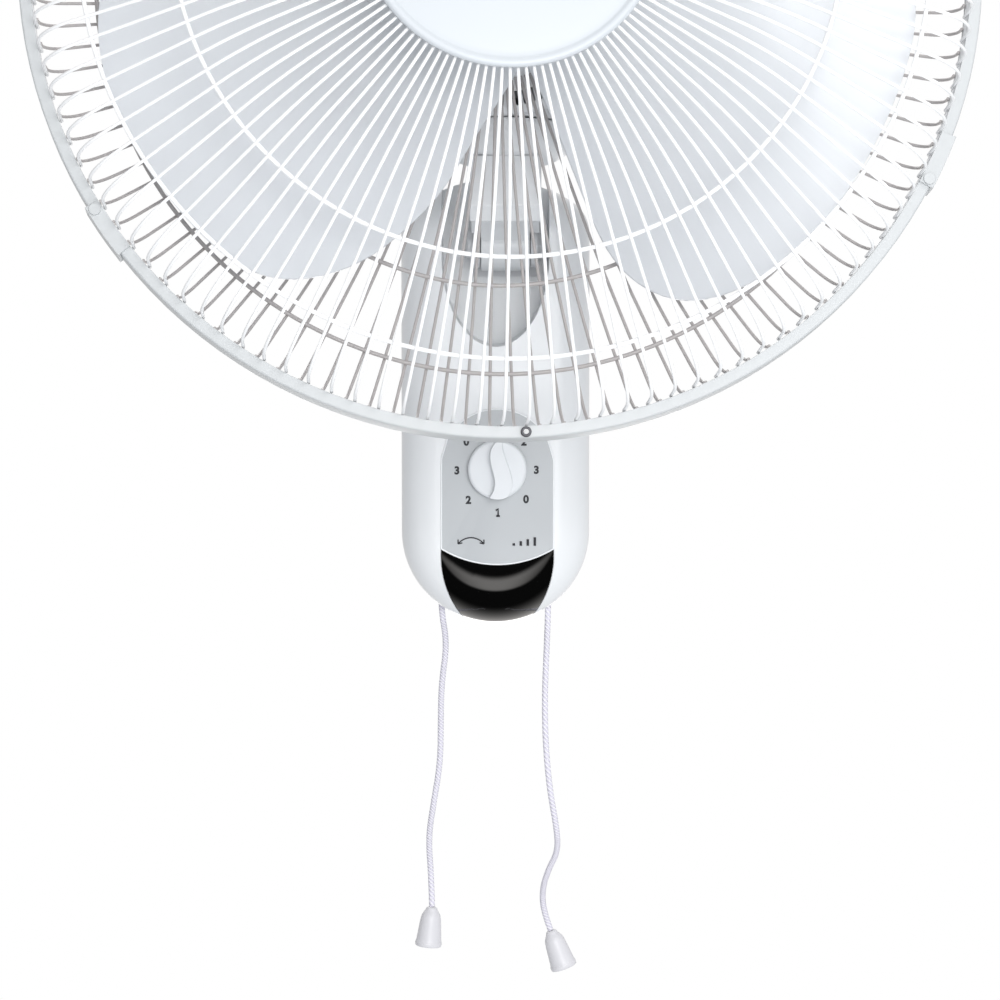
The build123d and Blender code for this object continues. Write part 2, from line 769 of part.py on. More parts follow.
with BuildPart() as control_knob:
    with BuildSketch(Plane.XZ.offset(knob_back)):
        with Locations((control_x, knob_z)):
            Circle(knob_radius)
    extrude(amount=knob_base)
    fillet(control_knob.faces().sort_by(Axis.Y)[0].edges(), radius=knob_edge)
    with BuildSketch(Plane.XZ.offset(knob_back + knob_base - knob_grip_sink)):
        with BuildSketch(mode=Mode.PRIVATE) as grip:
            with BuildLine():
                left_edge = Spline(*knob_grip_left)
                foot_edge = ThreePointArc(left_edge @ 1, knob_grip_foot, knob_grip_right[-1])
                right_edge = Spline(*reversed(knob_grip_right))
                Line(right_edge @ 1, left_edge @ 0)
            make_face()
        with Locations((control_x, knob_z)):
            add(grip.sketch)
    extrude(amount=knob_grip)
    with BuildSketch(Plane.XZ.offset(knob_back)):
        with Locations((control_x, knob_z)):
            Circle(spindle_radius)
    extrude(amount=column_depth + knob_gap + knob_base - knob_back, mode=Mode.SUBTRACT)
control_knob.part.label = "control_knob"
export_step(control_knob.part, "parts/control_knob.step")

lever_turn = math.radians(lever_angle)
lever_end = (control_x + lever_length * math.cos(lever_turn), knob_z + lever_length * math.sin(lever_turn))

with BuildPart() as speed_lever:
    with BuildSketch(Plane.XZ.offset(lever_depth)):
        with Locations((control_x, knob_z)):
            Circle(lever_hub_radius)
        with Locations(Location((control_x, knob_z), lever_angle)):
            Rectangle(lever_length, 2 * lever_half_width, align=(Align.MIN, Align.CENTER))
        with Locations(lever_end):
            Circle(lever_half_width)
        with Locations((control_x, knob_z)):
            Circle(spindle_radius + running_gap, mode=Mode.SUBTRACT)
    extrude(amount=lever_thickness)
speed_lever.part.label = "speed_lever"
export_step(speed_lever.part, "parts/speed_lever.step")

rod_top = lever_end[1] - lever_half_width - rod_gap
rod_collar_bottom = rod_top - rod_collar_drop - plunger_collar

with BuildPart() as speed_rod:
    with BuildSketch(Plane.XY.offset(speed_route[0][1])):
        with Locations((speed_x, cord_y)):
            Circle(plunger_radius)
    extrude(amount=rod_top - speed_route[0][1])
    with BuildSketch(Plane.XY.offset(rod_collar_bottom)):
        with Locations((speed_x, cord_y)):
            Circle(plunger_collar_radius)
    extrude(amount=plunger_collar)
speed_rod.part.label = "speed_rod"
export_step(speed_rod.part, "parts/speed_rod.step")

speed_spring_seat = speed_guide_bottom + speed_guide_height + seat_gap

with BuildPart() as speed_spring:
    with BuildSketch(Plane.XY.offset(speed_spring_seat)):
        with Locations((speed_x, cord_y)):
            Circle(spring_radius)
            Circle(spring_radius - spring_wall, mode=Mode.SUBTRACT)
    extrude(amount=rod_collar_bottom - seat_gap - speed_spring_seat)
speed_spring.part.label = "speed_spring"
export_step(speed_spring.part, "parts/speed_spring.step")

with BuildPart() as capacitor:
    with BuildSketch(Plane.XZ.offset(back_recess + back_wall)):
        with Locations(capacitor_place):
            RectangleRounded(capacitor_size[0], capacitor_size[2], box_corner)
    extrude(amount=capacitor_size[1])
capacitor.part.label = "capacitor"
export_step(capacitor.part, "parts/capacitor.step")

with BuildPart() as terminal_block:
    with BuildSketch(Plane.XZ.offset(back_recess + back_wall)):
        with Locations(terminal_place):
            Rectangle(terminal_size[0], terminal_size[2])
    extrude(amount=terminal_size[1])
    with BuildSketch(Plane.XZ.offset(back_recess + back_wall + terminal_size[1])):
        with Locations(terminal_place):
            with GridLocations(terminal_size[0] / 4, terminal_size[2] / 2, 4, 2):
                Circle(terminal_hole_radius)
    extrude(amount=-terminal_hole_depth, mode=Mode.SUBTRACT)
terminal_block.part.label = "terminal_block"
export_step(terminal_block.part, "parts/terminal_block.step")

# ================================================================ tilt hinge
ear_inner = knuckle_width / 2 + moving_gap
ear_outer = ear_inner + ear_thickness

with BuildPart() as hinge_bracket:
    with BuildSketch(Plane.XZ.offset(recess_floor)):
        with Locations((neck_x, tilt_z)):
            Rectangle(2 * ear_outer, bracket_height)
            with GridLocations(bracket_height / 2, bracket_height / 2, 2, 1):
                Circle(bracket_screw_radius, mode=Mode.SUBTRACT)
    extrude(amount=bracket_plate)
    for side in (-1, 1):
        with BuildSketch(Plane.YZ.offset(neck_x + side * (ear_inner + ear_outer) / 2)):
            with Locations((tilt_y, tilt_z)):
                Circle(ear_radius)
                Rectangle(-tilt_y - recess_floor, 2 * ear_radius, align=(Align.MIN, Align.CENTER))
                Circle(hinge_pin_radius, mode=Mode.SUBTRACT)
        extrude(amount=ear_thickness / 2, both=True)
hinge_bracket.part.label = "hinge_bracket"
export_step(hinge_bracket.part, "parts/hinge_bracket.step")

with BuildPart() as column_screws:
    with BuildSketch(Plane.XZ.offset(column_split / 2)):
        with Locations(*housing_screws):
            Circle(housing_screw_radius)
    extrude(amount=column_split - screw_end_gap)
    with BuildSketch(Plane.XZ.offset(column_split / 2)):
        with Locations(*housing_screws):
            Circle(housing_screw_head)
    extrude(amount=-screw_head_height)
    with BuildSketch(Plane.XZ.offset(recess_floor + bracket_plate)):
        with Locations((neck_x, tilt_z)):
            with GridLocations(bracket_height / 2, bracket_height / 2, 2, 1):
                Circle(bracket_screw_radius)
    extrude(amount=-bracket_plate - column_wall - bracket_screw_end)
    with BuildSketch(Plane.XZ.offset(recess_floor + bracket_plate)):
        with Locations((neck_x, tilt_z)):
            with GridLocations(bracket_height / 2, bracket_height / 2, 2, 1):
                Circle(bracket_screw_head)
    extrude(amount=screw_head_height)
column_screws.part.label = "column_screws"
export_step(column_screws.part, "parts/column_screws.step")

pin_left = neck_x - ear_outer
pin_right = neck_x + ear_outer + hinge_nut_height + hinge_pin_end

with BuildPart() as hinge_pin:
    with BuildSketch(Plane.YZ.offset(pin_left)):
        with Locations((tilt_y, tilt_z)):
            Circle(hinge_pin_radius)
    extrude(amount=pin_right - pin_left)
    with BuildSketch(Plane.YZ.offset(pin_left)):
        with Locations((tilt_y, tilt_z)):
            Circle(hinge_head_radius)
    extrude(amount=-hinge_head_height)
hinge_pin.part.label = "hinge_pin"
export_step(hinge_pin.part, "parts/hinge_pin.step")

with BuildPart() as hinge_nut:
    with BuildSketch(Plane.YZ.offset(neck_x + ear_outer)):
        with Locations((tilt_y, tilt_z)):
            RegularPolygon(hinge_head_radius, 6)
            Circle(hinge_pin_radius, mode=Mode.SUBTRACT)
    extrude(amount=hinge_nut_height)
hinge_nut.part.label = "hinge_nut"
export_step(hinge_nut.part, "parts/hinge_nut.step")

# ================================================================ neck
arm_front = neck_reach + neck_front
bowl_middle = (bowl_floor + bowl_rim) / 2
bowl_inner_radius = neck_reach + bowl_radius - neck_wall
core_bar = [
    (0, 0), (core_bar_heel, core_hub_radius), (neck_shoulder, core_bar_top - core_bar_slope),
    (neck_reach, core_bar_top), (neck_reach, core_bar_bottom), *core_bar_under,
]
support_under = axle_height + support_top - support_thickness
crank_level = support_under - crank_gap - crank_thickness
link_level = crank_level - crank_gap - link_thickness
peg_top = link_level + link_thickness + moving_gap

with BuildPart() as neck_shell:
    with BuildSketch(neck_side):
        with BuildLine():
            Polyline(
                (neck_heel, neck_heel_top), (neck_shoulder, neck_shoulder_top),
                (neck_reach - neck_saddle, neck_back_top), (neck_reach - neck_front, bowl_floor),
                (arm_front, bowl_floor), (arm_front, neck_nose),
                (arm_front - neck_chin, neck_nose - neck_chin_drop),
                (neck_throat, neck_throat_top), (neck_shoulder, neck_under), close=True,
            )
        make_face()
    extrude(amount=neck_width / 2, both=True)
    fillet(neck_shell.edges().filter_by(Axis.X).group_by(Axis.Y)[0], radius=neck_edge)
    with BuildSketch(neck_side):
        Circle(knuckle_radius)
        with BuildLine():
            Polyline(
                (0, 0), (0, knuckle_radius), (neck_shoulder, neck_shoulder_top - 1),
                (neck_throat, neck_throat_top + 1), (knuckle_radius, 0), close=True,
            )
        make_face()
    extrude(amount=knuckle_width / 2, both=True)
    with BuildSketch(neck_side):
        with BuildLine():
            bowl_outer = ThreePointArc(
                (neck_reach + bowl_foot_radius - bowl_foot_step, bowl_floor),
                (neck_reach + bowl_radius - bowl_belly[0], bowl_middle - bowl_belly[1]),
                (neck_reach + bowl_radius, bowl_rim - bowl_lip),
            )
            Line(bowl_outer @ 1, (neck_reach + bowl_radius, bowl_rim))
            Line((neck_reach + bowl_radius, bowl_rim), (bowl_inner_radius, bowl_rim))
            bowl_inner = ThreePointArc(
                (bowl_inner_radius, bowl_rim),
                (bowl_inner_radius - bowl_inner_belly[0], bowl_middle + bowl_inner_belly[1]),
                (neck_reach + bowl_foot_radius, bowl_floor + neck_wall),
            )
            Polyline(
                bowl_inner @ 1, (neck_reach + core_boss_radius, bowl_floor + neck_wall),
                (neck_reach + core_boss_radius, bowl_floor), bowl_outer @ 0,
            )
        make_face()
    revolve(axis=swing_axis)
    with BuildSketch(neck_side):
        with BuildLine():
            Polyline(
                (neck_shoulder + 1, neck_shoulder_top - neck_wall),
                (neck_reach - neck_saddle, neck_back_top - neck_wall),
                (neck_reach - neck_front + neck_wall, bowl_floor), (arm_front - neck_wall, bowl_floor),
                (arm_front - neck_wall, neck_nose + 1),
                (arm_front - neck_chin - 1, neck_nose - neck_chin_drop + neck_wall),
                (neck_throat, neck_throat_top + neck_wall), close=True,
            )
        make_face()
    extrude(amount=core_bar_width / 2 + 3, both=True, mode=Mode.SUBTRACT)
    with BuildSketch(neck_side):
        Circle(core_hub_radius)
    extrude(amount=knuckle_width / 2, both=True, mode=Mode.SUBTRACT)
    with BuildSketch(neck_side):
        with BuildLine():
            Polyline(*core_bar, close=True)
        make_face()
    extrude(amount=core_bar_width / 2, both=True, mode=Mode.SUBTRACT)
    with BuildSketch(neck_level.offset(core_boss_bottom)):
        Circle(core_boss_radius)
    extrude(amount=bowl_floor + neck_wall - core_boss_bottom, mode=Mode.SUBTRACT)
    with BuildSketch(neck_level.offset(bowl_floor + neck_wall / 2)):
        with Locations((-peg_distance, 0)):
            Circle(peg_radius)
    extrude(amount=peg_top - bowl_floor - neck_wall / 2)
neck_shell.part.label = "neck_shell"
export_step(neck_shell.part, "parts/neck_shell.step")

with BuildPart() as neck_core:
    with BuildSketch(neck_side):
        Circle(core_hub_radius)
    extrude(amount=knuckle_width / 2, both=True)
    with BuildSketch(neck_side):
        with BuildLine():
            Polyline(*core_bar, close=True)
        make_face()
    extrude(amount=core_bar_width / 2, both=True)
    with BuildSketch(neck_level.offset(core_boss_bottom)):
        Circle(core_boss_radius)
    extrude(amount=core_boss_top - core_boss_bottom)
    with BuildSketch(neck_level.offset(swing_shaft_foot)):
        Circle(swing_shaft_radius)
    extrude(amount=core_boss_top, mode=Mode.SUBTRACT)
    with BuildSketch(neck_side):
        Circle(hinge_pin_radius + running_gap)
    extrude(amount=knuckle_width / 2, both=True, mode=Mode.SUBTRACT)
neck_core.part.label = "neck_core"
export_step(neck_core.part, "parts/neck_core.step")

with BuildPart() as swing_shaft:
    with BuildSketch(neck_level.offset(swing_shaft_foot)):
        Circle(swing_shaft_radius)
    extrude(amount=swing_shaft_top - swing_shaft_foot)
swing_shaft.part.label = "swing_shaft"
export_step(swing_shaft.part, "parts/swing_shaft.step")

sleeve_bottom = core_boss_top + swing_washer_thickness + running_gap
sleeve_top = axle_height + support_top + swing_sleeve_rise

with BuildPart() as swing_washers:
    for level in (core_boss_top, sleeve_top + running_gap):
        with BuildSketch(neck_level.offset(level)):
            Circle(core_boss_radius)
            Circle(swing_shaft_radius, mode=Mode.SUBTRACT)
        extrude(amount=swing_washer_thickness)
swing_washers.part.label = "swing_washers"
export_step(swing_washers.part, "parts/swing_washers.step")


# ================================================================ motor
with BuildPart() as motor_support:
    with BuildSketch(head.offset(support_back)):
        with Locations((0, support_top - support_thickness / 2)):
            Rectangle(support_width, support_thickness)
    extrude(amount=front_bracket_back + bracket_disc_thickness - support_back)
    with BuildSketch(head_level.offset(sleeve_bottom)):
        Circle(swing_sleeve_radius)
    extrude(amount=sleeve_top - sleeve_bottom)
    with BuildSketch(head_level.offset(sleeve_bottom)):
        Circle(swing_shaft_radius + running_gap)
    extrude(amount=sleeve_top - sleeve_bottom, mode=Mode.SUBTRACT)
    with BuildSketch(head_level.offset(axle_height + support_top - support_thickness)):
        with Locations((0, crank_reach)):
            Circle(crank_shaft_radius + running_gap)
    extrude(amount=support_thickness, mode=Mode.SUBTRACT)
motor_support.part.label = "motor_support"
export_step(motor_support.part, "parts/motor_support.step")

foot_depth = -support_top

with BuildPart() as front_bracket:
    with BuildSketch(head.offset(front_bracket_back)):
        Circle(bracket_disc_radius)
        Rectangle(bracket_foot_width, foot_depth, align=(Align.CENTER, Align.MAX))
    extrude(amount=bracket_disc_thickness)
    with BuildSketch(head.offset(front_bracket_back)):
        Circle(nose_radius)
    extrude(amount=nose_front - front_bracket_back)
    with BuildSketch(head.offset(front_bracket_back)):
        Circle(bush_radius)
        with PolarLocations(motor_bolt_circle, 4, start_angle=45):
            Circle(motor_bolt_radius)
    extrude(amount=nose_front - front_bracket_back, mode=Mode.SUBTRACT)
front_bracket.part.label = "motor_front_bracket"
export_step(front_bracket.part, "parts/motor_front_bracket.step")

with BuildPart() as rear_bracket:
    with BuildSketch(head.offset(rear_bracket_front - bracket_disc_thickness)):
        Circle(bracket_disc_radius)
        Rectangle(bracket_foot_width, foot_depth, align=(Align.CENTER, Align.MAX))
        with PolarLocations(motor_bolt_circle, 4, start_angle=45):
            Circle(motor_bolt_radius, mode=Mode.SUBTRACT)
        with PolarLocations(cover_post_circle, 2):
            Circle(motor_bolt_radius, mode=Mode.SUBTRACT)
    extrude(amount=bracket_disc_thickness)
    with BuildSketch(head.offset(rear_bracket_front - rear_hub_length)):
        Circle(rear_hub_radius)
    extrude(amount=rear_hub_length)
    with BuildSketch(head.offset(rear_bracket_front - rear_hub_length)):
        Circle(bush_radius)
    extrude(amount=rear_hub_length, mode=Mode.SUBTRACT)
rear_bracket.part.label = "motor_rear_bracket"
export_step(rear_bracket.part, "parts/motor_rear_bracket.step")

with BuildPart() as shaft_bushes:
    with BuildSketch(head.offset(front_bracket_back)):
        Circle(bush_radius)
        Circle(shaft_radius + running_gap, mode=Mode.SUBTRACT)
    extrude(amount=nose_front - front_bracket_back)
    with BuildSketch(head.offset(rear_bracket_front - rear_hub_length)):
        Circle(bush_radius)
        Circle(shaft_radius + running_gap, mode=Mode.SUBTRACT)
    extrude(amount=rear_hub_length)
shaft_bushes.part.label = "shaft_bushes"
export_step(shaft_bushes.part, "parts/shaft_bushes.step")

with BuildPart() as motor_bolts:
    with BuildSketch(head.offset(rear_bracket_front - bracket_disc_thickness)):
        with PolarLocations(motor_bolt_circle, 4, start_angle=45):
            Circle(motor_bolt_radius)
    extrude(amount=front_bracket_back - rear_bracket_front + 2 * bracket_disc_thickness)
    with BuildSketch(head.offset(rear_bracket_front - bracket_disc_thickness)):
        with PolarLocations(motor_bolt_circle, 4, start_angle=45):
            RegularPolygon(motor_bolt_head_radius, 6)
    extrude(amount=-motor_bolt_head)
motor_bolts.part.label = "motor_bolts"
export_step(motor_bolts.part, "parts/motor_bolts.step")

with BuildPart() as stator_core:
    with BuildSketch(head.offset(stator_back)):
        Circle(stator_radius)
        Circle(stator_bore_radius, mode=Mode.SUBTRACT)
        with PolarLocations(motor_bolt_circle, 4, start_angle=45):
            Circle(stator_lug_radius)
        with PolarLocations(motor_bolt_circle, 4, start_angle=45):
            Circle(motor_bolt_radius, mode=Mode.SUBTRACT)
    extrude(amount=stator_front - stator_back)
stator_core.part.label = "stator_core"
export_step(stator_core.part, "parts/stator_core.step")

with BuildPart() as stator_windings:
    for start, length in ((stator_front, winding_length), (stator_back, -winding_length)):
        with BuildSketch(head.offset(start)):
            Circle(winding_outer_radius)
            Circle(winding_inner_radius, mode=Mode.SUBTRACT)
        extrude(amount=length)
    fillet(stator_windings.edges().filter_by(GeomType.CIRCLE).group_by(motor_axis)[0], radius=winding_edge)
    fillet(stator_windings.edges().filter_by(GeomType.CIRCLE).group_by(motor_axis)[-1], radius=winding_edge)
stator_windings.part.label = "stator_windings"
export_step(stator_windings.part, "parts/stator_windings.step")

with BuildPart() as rotor_core:
    with BuildSketch(head.offset(stator_back)):
        Circle(rotor_radius)
        Circle(shaft_radius, mode=Mode.SUBTRACT)
    extrude(amount=stator_front - stator_back)
rotor_core.part.label = "rotor_core"
export_step(rotor_core.part, "parts/rotor_core.step")

with BuildPart() as motor_shaft:
    with BuildSketch(head.offset(shaft_back)):
        Circle(shaft_radius)
    extrude(amount=shaft_front - shaft_back)
    drive_hole = Plane(origin=rim_centre + head_forward * drive_pin_place, x_dir=head_forward, z_dir=head_right)
    with BuildSketch(drive_hole):
        Circle(drive_pin_radius)
    extrude(amount=shaft_radius, both=True, mode=Mode.SUBTRACT)
motor_shaft.part.label = "motor_shaft"
export_step(motor_shaft.part, "parts/motor_shaft.step")

with BuildPart() as drive_pin:
    with BuildSketch(drive_hole):
        Circle(drive_pin_radius)
    extrude(amount=drive_pin_length / 2, both=True)
drive_pin.part.label = "drive_pin"
export_step(drive_pin.part, "parts/drive_pin.step")

nose_hole = nose_radius + nose_gap
bracket_back = rear_bracket_front - bracket_disc_thickness
front_bracket_face = front_bracket_back + bracket_disc_thickness

with BuildPart() as motor_front_cover:
    with BuildSketch(meridian):
        with BuildLine():
            Line((nose_hole, front_cover_face), (front_cover_flat_radius, front_cover_face))
            ThreePointArc(
                (front_cover_flat_radius, front_cover_face),
                (front_cover_bend[0], front_cover_face - front_cover_bend[1]),
                (cover_radius, cover_split),
            )
            Line((cover_radius, cover_split), (cover_radius - cover_wall, cover_split))
            inner_bend = ThreePointArc(
                (cover_radius - cover_wall, cover_split),
                (front_cover_inner_bend[0], front_cover_face - front_cover_inner_bend[1]),
                (front_cover_flat_radius, front_cover_face - cover_wall),
            )
            Line(inner_bend @ 1, (nose_hole, front_cover_face - cover_wall))
            Line((nose_hole, front_cover_face - cover_wall), (nose_hole, front_cover_face))
        make_face()
    revolve(axis=motor_axis)
    with BuildSketch(head.offset(front_bracket_face + seat_gap)):
        Circle(nose_hole + cover_collar)
        Circle(nose_hole, mode=Mode.SUBTRACT)
    extrude(amount=front_cover_face + cover_collar_height - front_bracket_face - seat_gap)
    with BuildSketch(head.offset(cover_split)):
        with PolarLocations((vent_inner_radius + vent_outer_radius) / 2, vent_count):
            SlotOverall(vent_outer_radius - vent_inner_radius, vent_width)
    extrude(amount=front_cover_face - cover_split + cover_wall, mode=Mode.SUBTRACT)
motor_front_cover.part.label = "motor_front_cover"
export_step(motor_front_cover.part, "parts/motor_front_cover.step")

collar_bottom = bowl_rim + collar_gap


def motor_form(inset):
    """The motor cover's outside, drawn in by inset: a drum with a rounded back and a collar below."""
    with BuildPart() as form:
        with BuildSketch(meridian) as drum:
            with BuildLine():
                Polyline(
                    (0, cover_split + inset), (cover_radius - inset, cover_split + inset),
                    (cover_radius - inset, cover_back + inset), (0, cover_back + inset), close=True,
                )
            make_face()
            fillet(drum.vertices().sort_by(Axis.Y)[:2].sort_by(Axis.X)[-1], radius=cover_corner - inset)
        revolve(axis=motor_axis)
        with BuildSketch(head_level.offset(collar_bottom - inset)):
            Circle(collar_radius - inset)
        extrude(amount=axle_height - collar_bottom)
    return form.part


with BuildPart() as motor_rear_cover:
    add(motor_form(0))
    add(motor_form(cover_wall), mode=Mode.SUBTRACT)
    with BuildSketch(head.offset(cover_back)):
        with PolarLocations((back_vent_inner_radius + back_vent_outer_radius) / 2, back_vent_count):
            SlotOverall(back_vent_outer_radius - back_vent_inner_radius, back_vent_width)
    extrude(amount=cover_wall, mode=Mode.SUBTRACT)
    with BuildSketch(head.offset(cover_back + cover_wall / 2)):
        with PolarLocations(cover_post_circle, 2):
            Circle(cover_post_radius)
    extrude(amount=bracket_back - seat_gap - cover_back - cover_wall / 2)
    with BuildSketch(head.offset(cover_back)):
        with PolarLocations(cover_post_circle, 2):
            Circle(motor_bolt_radius)
    extrude(amount=bracket_back - cover_back, mode=Mode.SUBTRACT)
motor_rear_cover.part.label = "motor_rear_cover"
export_step(motor_rear_cover.part, "parts/motor_rear_cover.step")

with BuildPart() as cover_screws:
    with BuildSketch(head.offset(cover_back)):
        with PolarLocations(cover_post_circle, 2):
            Circle(motor_bolt_radius)
    extrude(amount=rear_bracket_front - cover_back)
    with BuildSketch(head.offset(cover_back - seat_gap)):
        with PolarLocations(cover_post_circle, 2):
            Circle(motor_bolt_head_radius)
    extrude(amount=-motor_bolt_head)
cover_screws.part.label = "cover_screws"
export_step(cover_screws.part, "parts/cover_screws.step")

# ================================================================ guard
rim_wire_circle = guard_radius - hoop_wall - seat_gap - rim_wire_radius
wire_end_circle = rim_wire_circle - rim_wire_radius - wire_radius - weld_gap


def guard_wire(start, knee, corner, bends):
    """One guard wire: a nearly flat run from the middle, a sloping run, and a short end along the axis."""
    end = math.copysign(wire_end_height, corner)
    places = [start, knee, (wire_end_circle, corner), (wire_end_circle, end)]
    return bent_tube([Vector(radius, 0, height) for radius, height in places], bends, wire_radius)[0]


def ring_places(knee, corner, circles):
    """Centres of the guard rings that lie against the inner side of a wire's sloping run."""
    along = Vector(wire_end_circle - knee[0], corner - knee[1]).normalized()
    inward = Vector(-abs(along.Y), -math.copysign(along.X, corner))
    places = []
    for circle in circles:
        touch = Vector(circle, knee[1] + (circle - knee[0]) * along.Y / along.X)
        place = touch + inward * (wire_radius + ring_wire_radius + weld_gap)
        places.append((place.X, place.Y))
    return places


with BuildPart(head) as front_guard_wires:
    with PolarLocations(0, wire_count, start_angle=front_wire_phase):
        add(guard_wire(front_wire_start, front_wire_knee, front_wire_corner, front_wire_bends))
front_guard_wires.part.label = "front_guard_wires"
export_step(front_guard_wires.part, "parts/front_guard_wires.step")

with BuildPart(head) as rear_guard_wires:
    with PolarLocations(0, wire_count, start_angle=front_wire_phase + rear_wire_shift):
        add(guard_wire(rear_wire_start, rear_wire_knee, rear_wire_corner, rear_wire_bends))
rear_guard_wires.part.label = "rear_guard_wires"
export_step(rear_guard_wires.part, "parts/rear_guard_wires.step")

with BuildPart() as front_guard_rings:
    with BuildSketch(meridian):
        with Locations(*ring_places(front_wire_knee, front_wire_corner, front_ring_circles)):
            Circle(ring_wire_radius)
        with Locations((rim_wire_circle, rim_wire_radius + weld_gap)):
            Circle(rim_wire_radius)
    revolve(axis=motor_axis)
front_guard_rings.part.label = "front_guard_rings"
export_step(front_guard_rings.part, "parts/front_guard_rings.step")

with BuildPart() as rear_guard_rings:
    with BuildSketch(meridian):
        with Locations(*ring_places(rear_wire_knee, rear_wire_corner, rear_ring_circles)):
            Circle(ring_wire_radius)
        with Locations((rim_wire_circle, -rim_wire_radius - weld_gap)):
            Circle(rim_wire_radius)
    revolve(axis=motor_axis)
rear_guard_rings.part.label = "rear_guard_rings"
export_step(rear_guard_rings.part, "parts/rear_guard_rings.step")

rear_plate_back = front_cover_face + cover_collar_height + seat_gap
rear_plate_front = rear_plate_back + guard_plate_thickness

with BuildPart() as rear_guard_plate:
    with BuildSketch(head.offset(rear_plate_back)):
        Circle(rear_plate_radius)
        Circle(nose_radius + running_gap, mode=Mode.SUBTRACT)
    extrude(amount=guard_plate_thickness)
rear_guard_plate.part.label = "rear_guard_plate"
export_step(rear_guard_plate.part, "parts/rear_guard_plate.step")

with BuildPart() as guard_nut:
    with BuildSketch(head.offset(rear_plate_front + seat_gap)):
        Circle(guard_nut_radius)
        with PolarLocations(guard_nut_radius + 1, guard_nut_lobes):
            Circle(guard_nut_scallop, mode=Mode.SUBTRACT)
        Circle(nose_radius + running_gap, mode=Mode.SUBTRACT)
    extrude(amount=guard_nut_length)
guard_nut.part.label = "guard_nut"
export_step(guard_nut.part, "parts/guard_nut.step")

front_plate_front = front_wire_start[1] - wire_radius - front_plate_drop

with BuildPart() as front_guard_plate:
    with BuildSketch(head.offset(front_plate_front)):
        Circle(front_plate_radius)
        Circle(cap_screw_radius + running_gap, mode=Mode.SUBTRACT)
    extrude(amount=-guard_plate_thickness)
front_guard_plate.part.label = "front_guard_plate"
export_step(front_guard_plate.part, "parts/front_guard_plate.step")

cap_rim_top = cap_rim_bottom + cap_rim_height

with BuildPart() as guard_cap:
    with BuildSketch(meridian):
        with BuildLine():
            dome = ThreePointArc(
                (0, cap_rim_top + cap_crown - cap_rim_width / 2),
                (cap_radius / 2, cap_rim_top + cap_crown * cap_crown_share - cap_rim_width / 2),
                (cap_radius - cap_rim_width, cap_rim_top - cap_rim_groove),
            )
            Polyline(
                dome @ 1, (cap_radius - cap_rim_width, cap_rim_top), (cap_radius, cap_rim_top),
                (cap_radius, cap_rim_bottom), (cap_radius - cap_rim_width, cap_rim_bottom),
            )
            under = ThreePointArc(
                (cap_radius - cap_rim_width, cap_rim_bottom),
                (cap_radius / 2, cap_rim_top + cap_crown * cap_crown_share - cap_rim_width / 2 - cap_wall),
                (0, cap_rim_top + cap_crown - cap_rim_width / 2 - cap_wall),
            )
            Line(under @ 1, dome @ 0)
        make_face()
    revolve(axis=motor_axis)
    with BuildSketch(head.offset(front_plate_front + seat_gap)):
        Circle(cap_boss_radius)
    extrude(amount=cap_rim_top - front_plate_front)
    with BuildSketch(head.offset(front_plate_front)):
        Circle(cap_screw_radius)
    extrude(amount=cap_rim_height + moving_gap, mode=Mode.SUBTRACT)
guard_cap.part.label = "guard_cap"
export_step(guard_cap.part, "parts/guard_cap.step")


def channel(inner, outer, half_width, wall, lip):
    """Half section of a U channel that is open towards the motor axis."""
    with BuildSketch(meridian) as section:
        with BuildLine():
            Polyline(
                (lip, half_width), (outer, half_width), (outer, -half_width), (lip, -half_width),
                (lip, -half_width + wall), (inner, -half_width + wall), (inner, half_width - wall),
                (lip, half_width - wall), close=True,
            )
        make_face()
    return section.sketch


hoop_inner = guard_radius - hoop_wall
hoop_lip_radius = guard_radius - hoop_depth

with BuildPart() as guard_hoop:
    add(channel(hoop_inner, guard_radius, hoop_half_width, hoop_wall, hoop_lip_radius))
    revolve(axis=motor_axis)
    fillet(guard_hoop.edges().filter_by(GeomType.CIRCLE).sort_by(SortBy.RADIUS)[-2:], radius=hoop_edge)
guard_hoop.part.label = "guard_hoop"
export_step(guard_hoop.part, "parts/guard_hoop.step")

clip_inner = guard_radius + seat_gap
clip_outer = clip_inner + clip_thickness
clip_half_width = hoop_half_width + seat_gap + clip_thickness
clip_start = straight_down + clip_phase + clip_step - clip_lead
clip_range = clip_step * (clip_count - 1)

with BuildPart() as one_clip:
    with BuildSketch(Plane.XZ):
        with BuildLine():
            Polyline(
                (hoop_lip_radius, clip_half_width), (clip_outer, clip_half_width),
                (clip_outer, -clip_half_width), (hoop_lip_radius, -clip_half_width),
                (hoop_lip_radius, clip_thickness - clip_half_width),
                (clip_inner, clip_thickness - clip_half_width),
                (clip_inner, clip_half_width - clip_thickness),
                (hoop_lip_radius, clip_half_width - clip_thickness), close=True,
            )
        make_face()
    revolve(axis=Axis.Z, revolution_arc=clip_angle)
    with BuildSketch(Plane.XY.offset(clip_half_width)):
        with PolarLocations((hoop_lip_radius + clip_outer) / 2, 1, start_angle=clip_lead):
            Circle(clip_pin_radius)
    extrude(amount=clip_pin_height)

with BuildPart(head) as guard_clips:
    with PolarLocations(0, clip_count - 1, start_angle=clip_start, angular_range=clip_range):
        add(one_clip.part)
guard_clips.part.label = "guard_clips"
export_step(guard_clips.part, "parts/guard_clips.step")

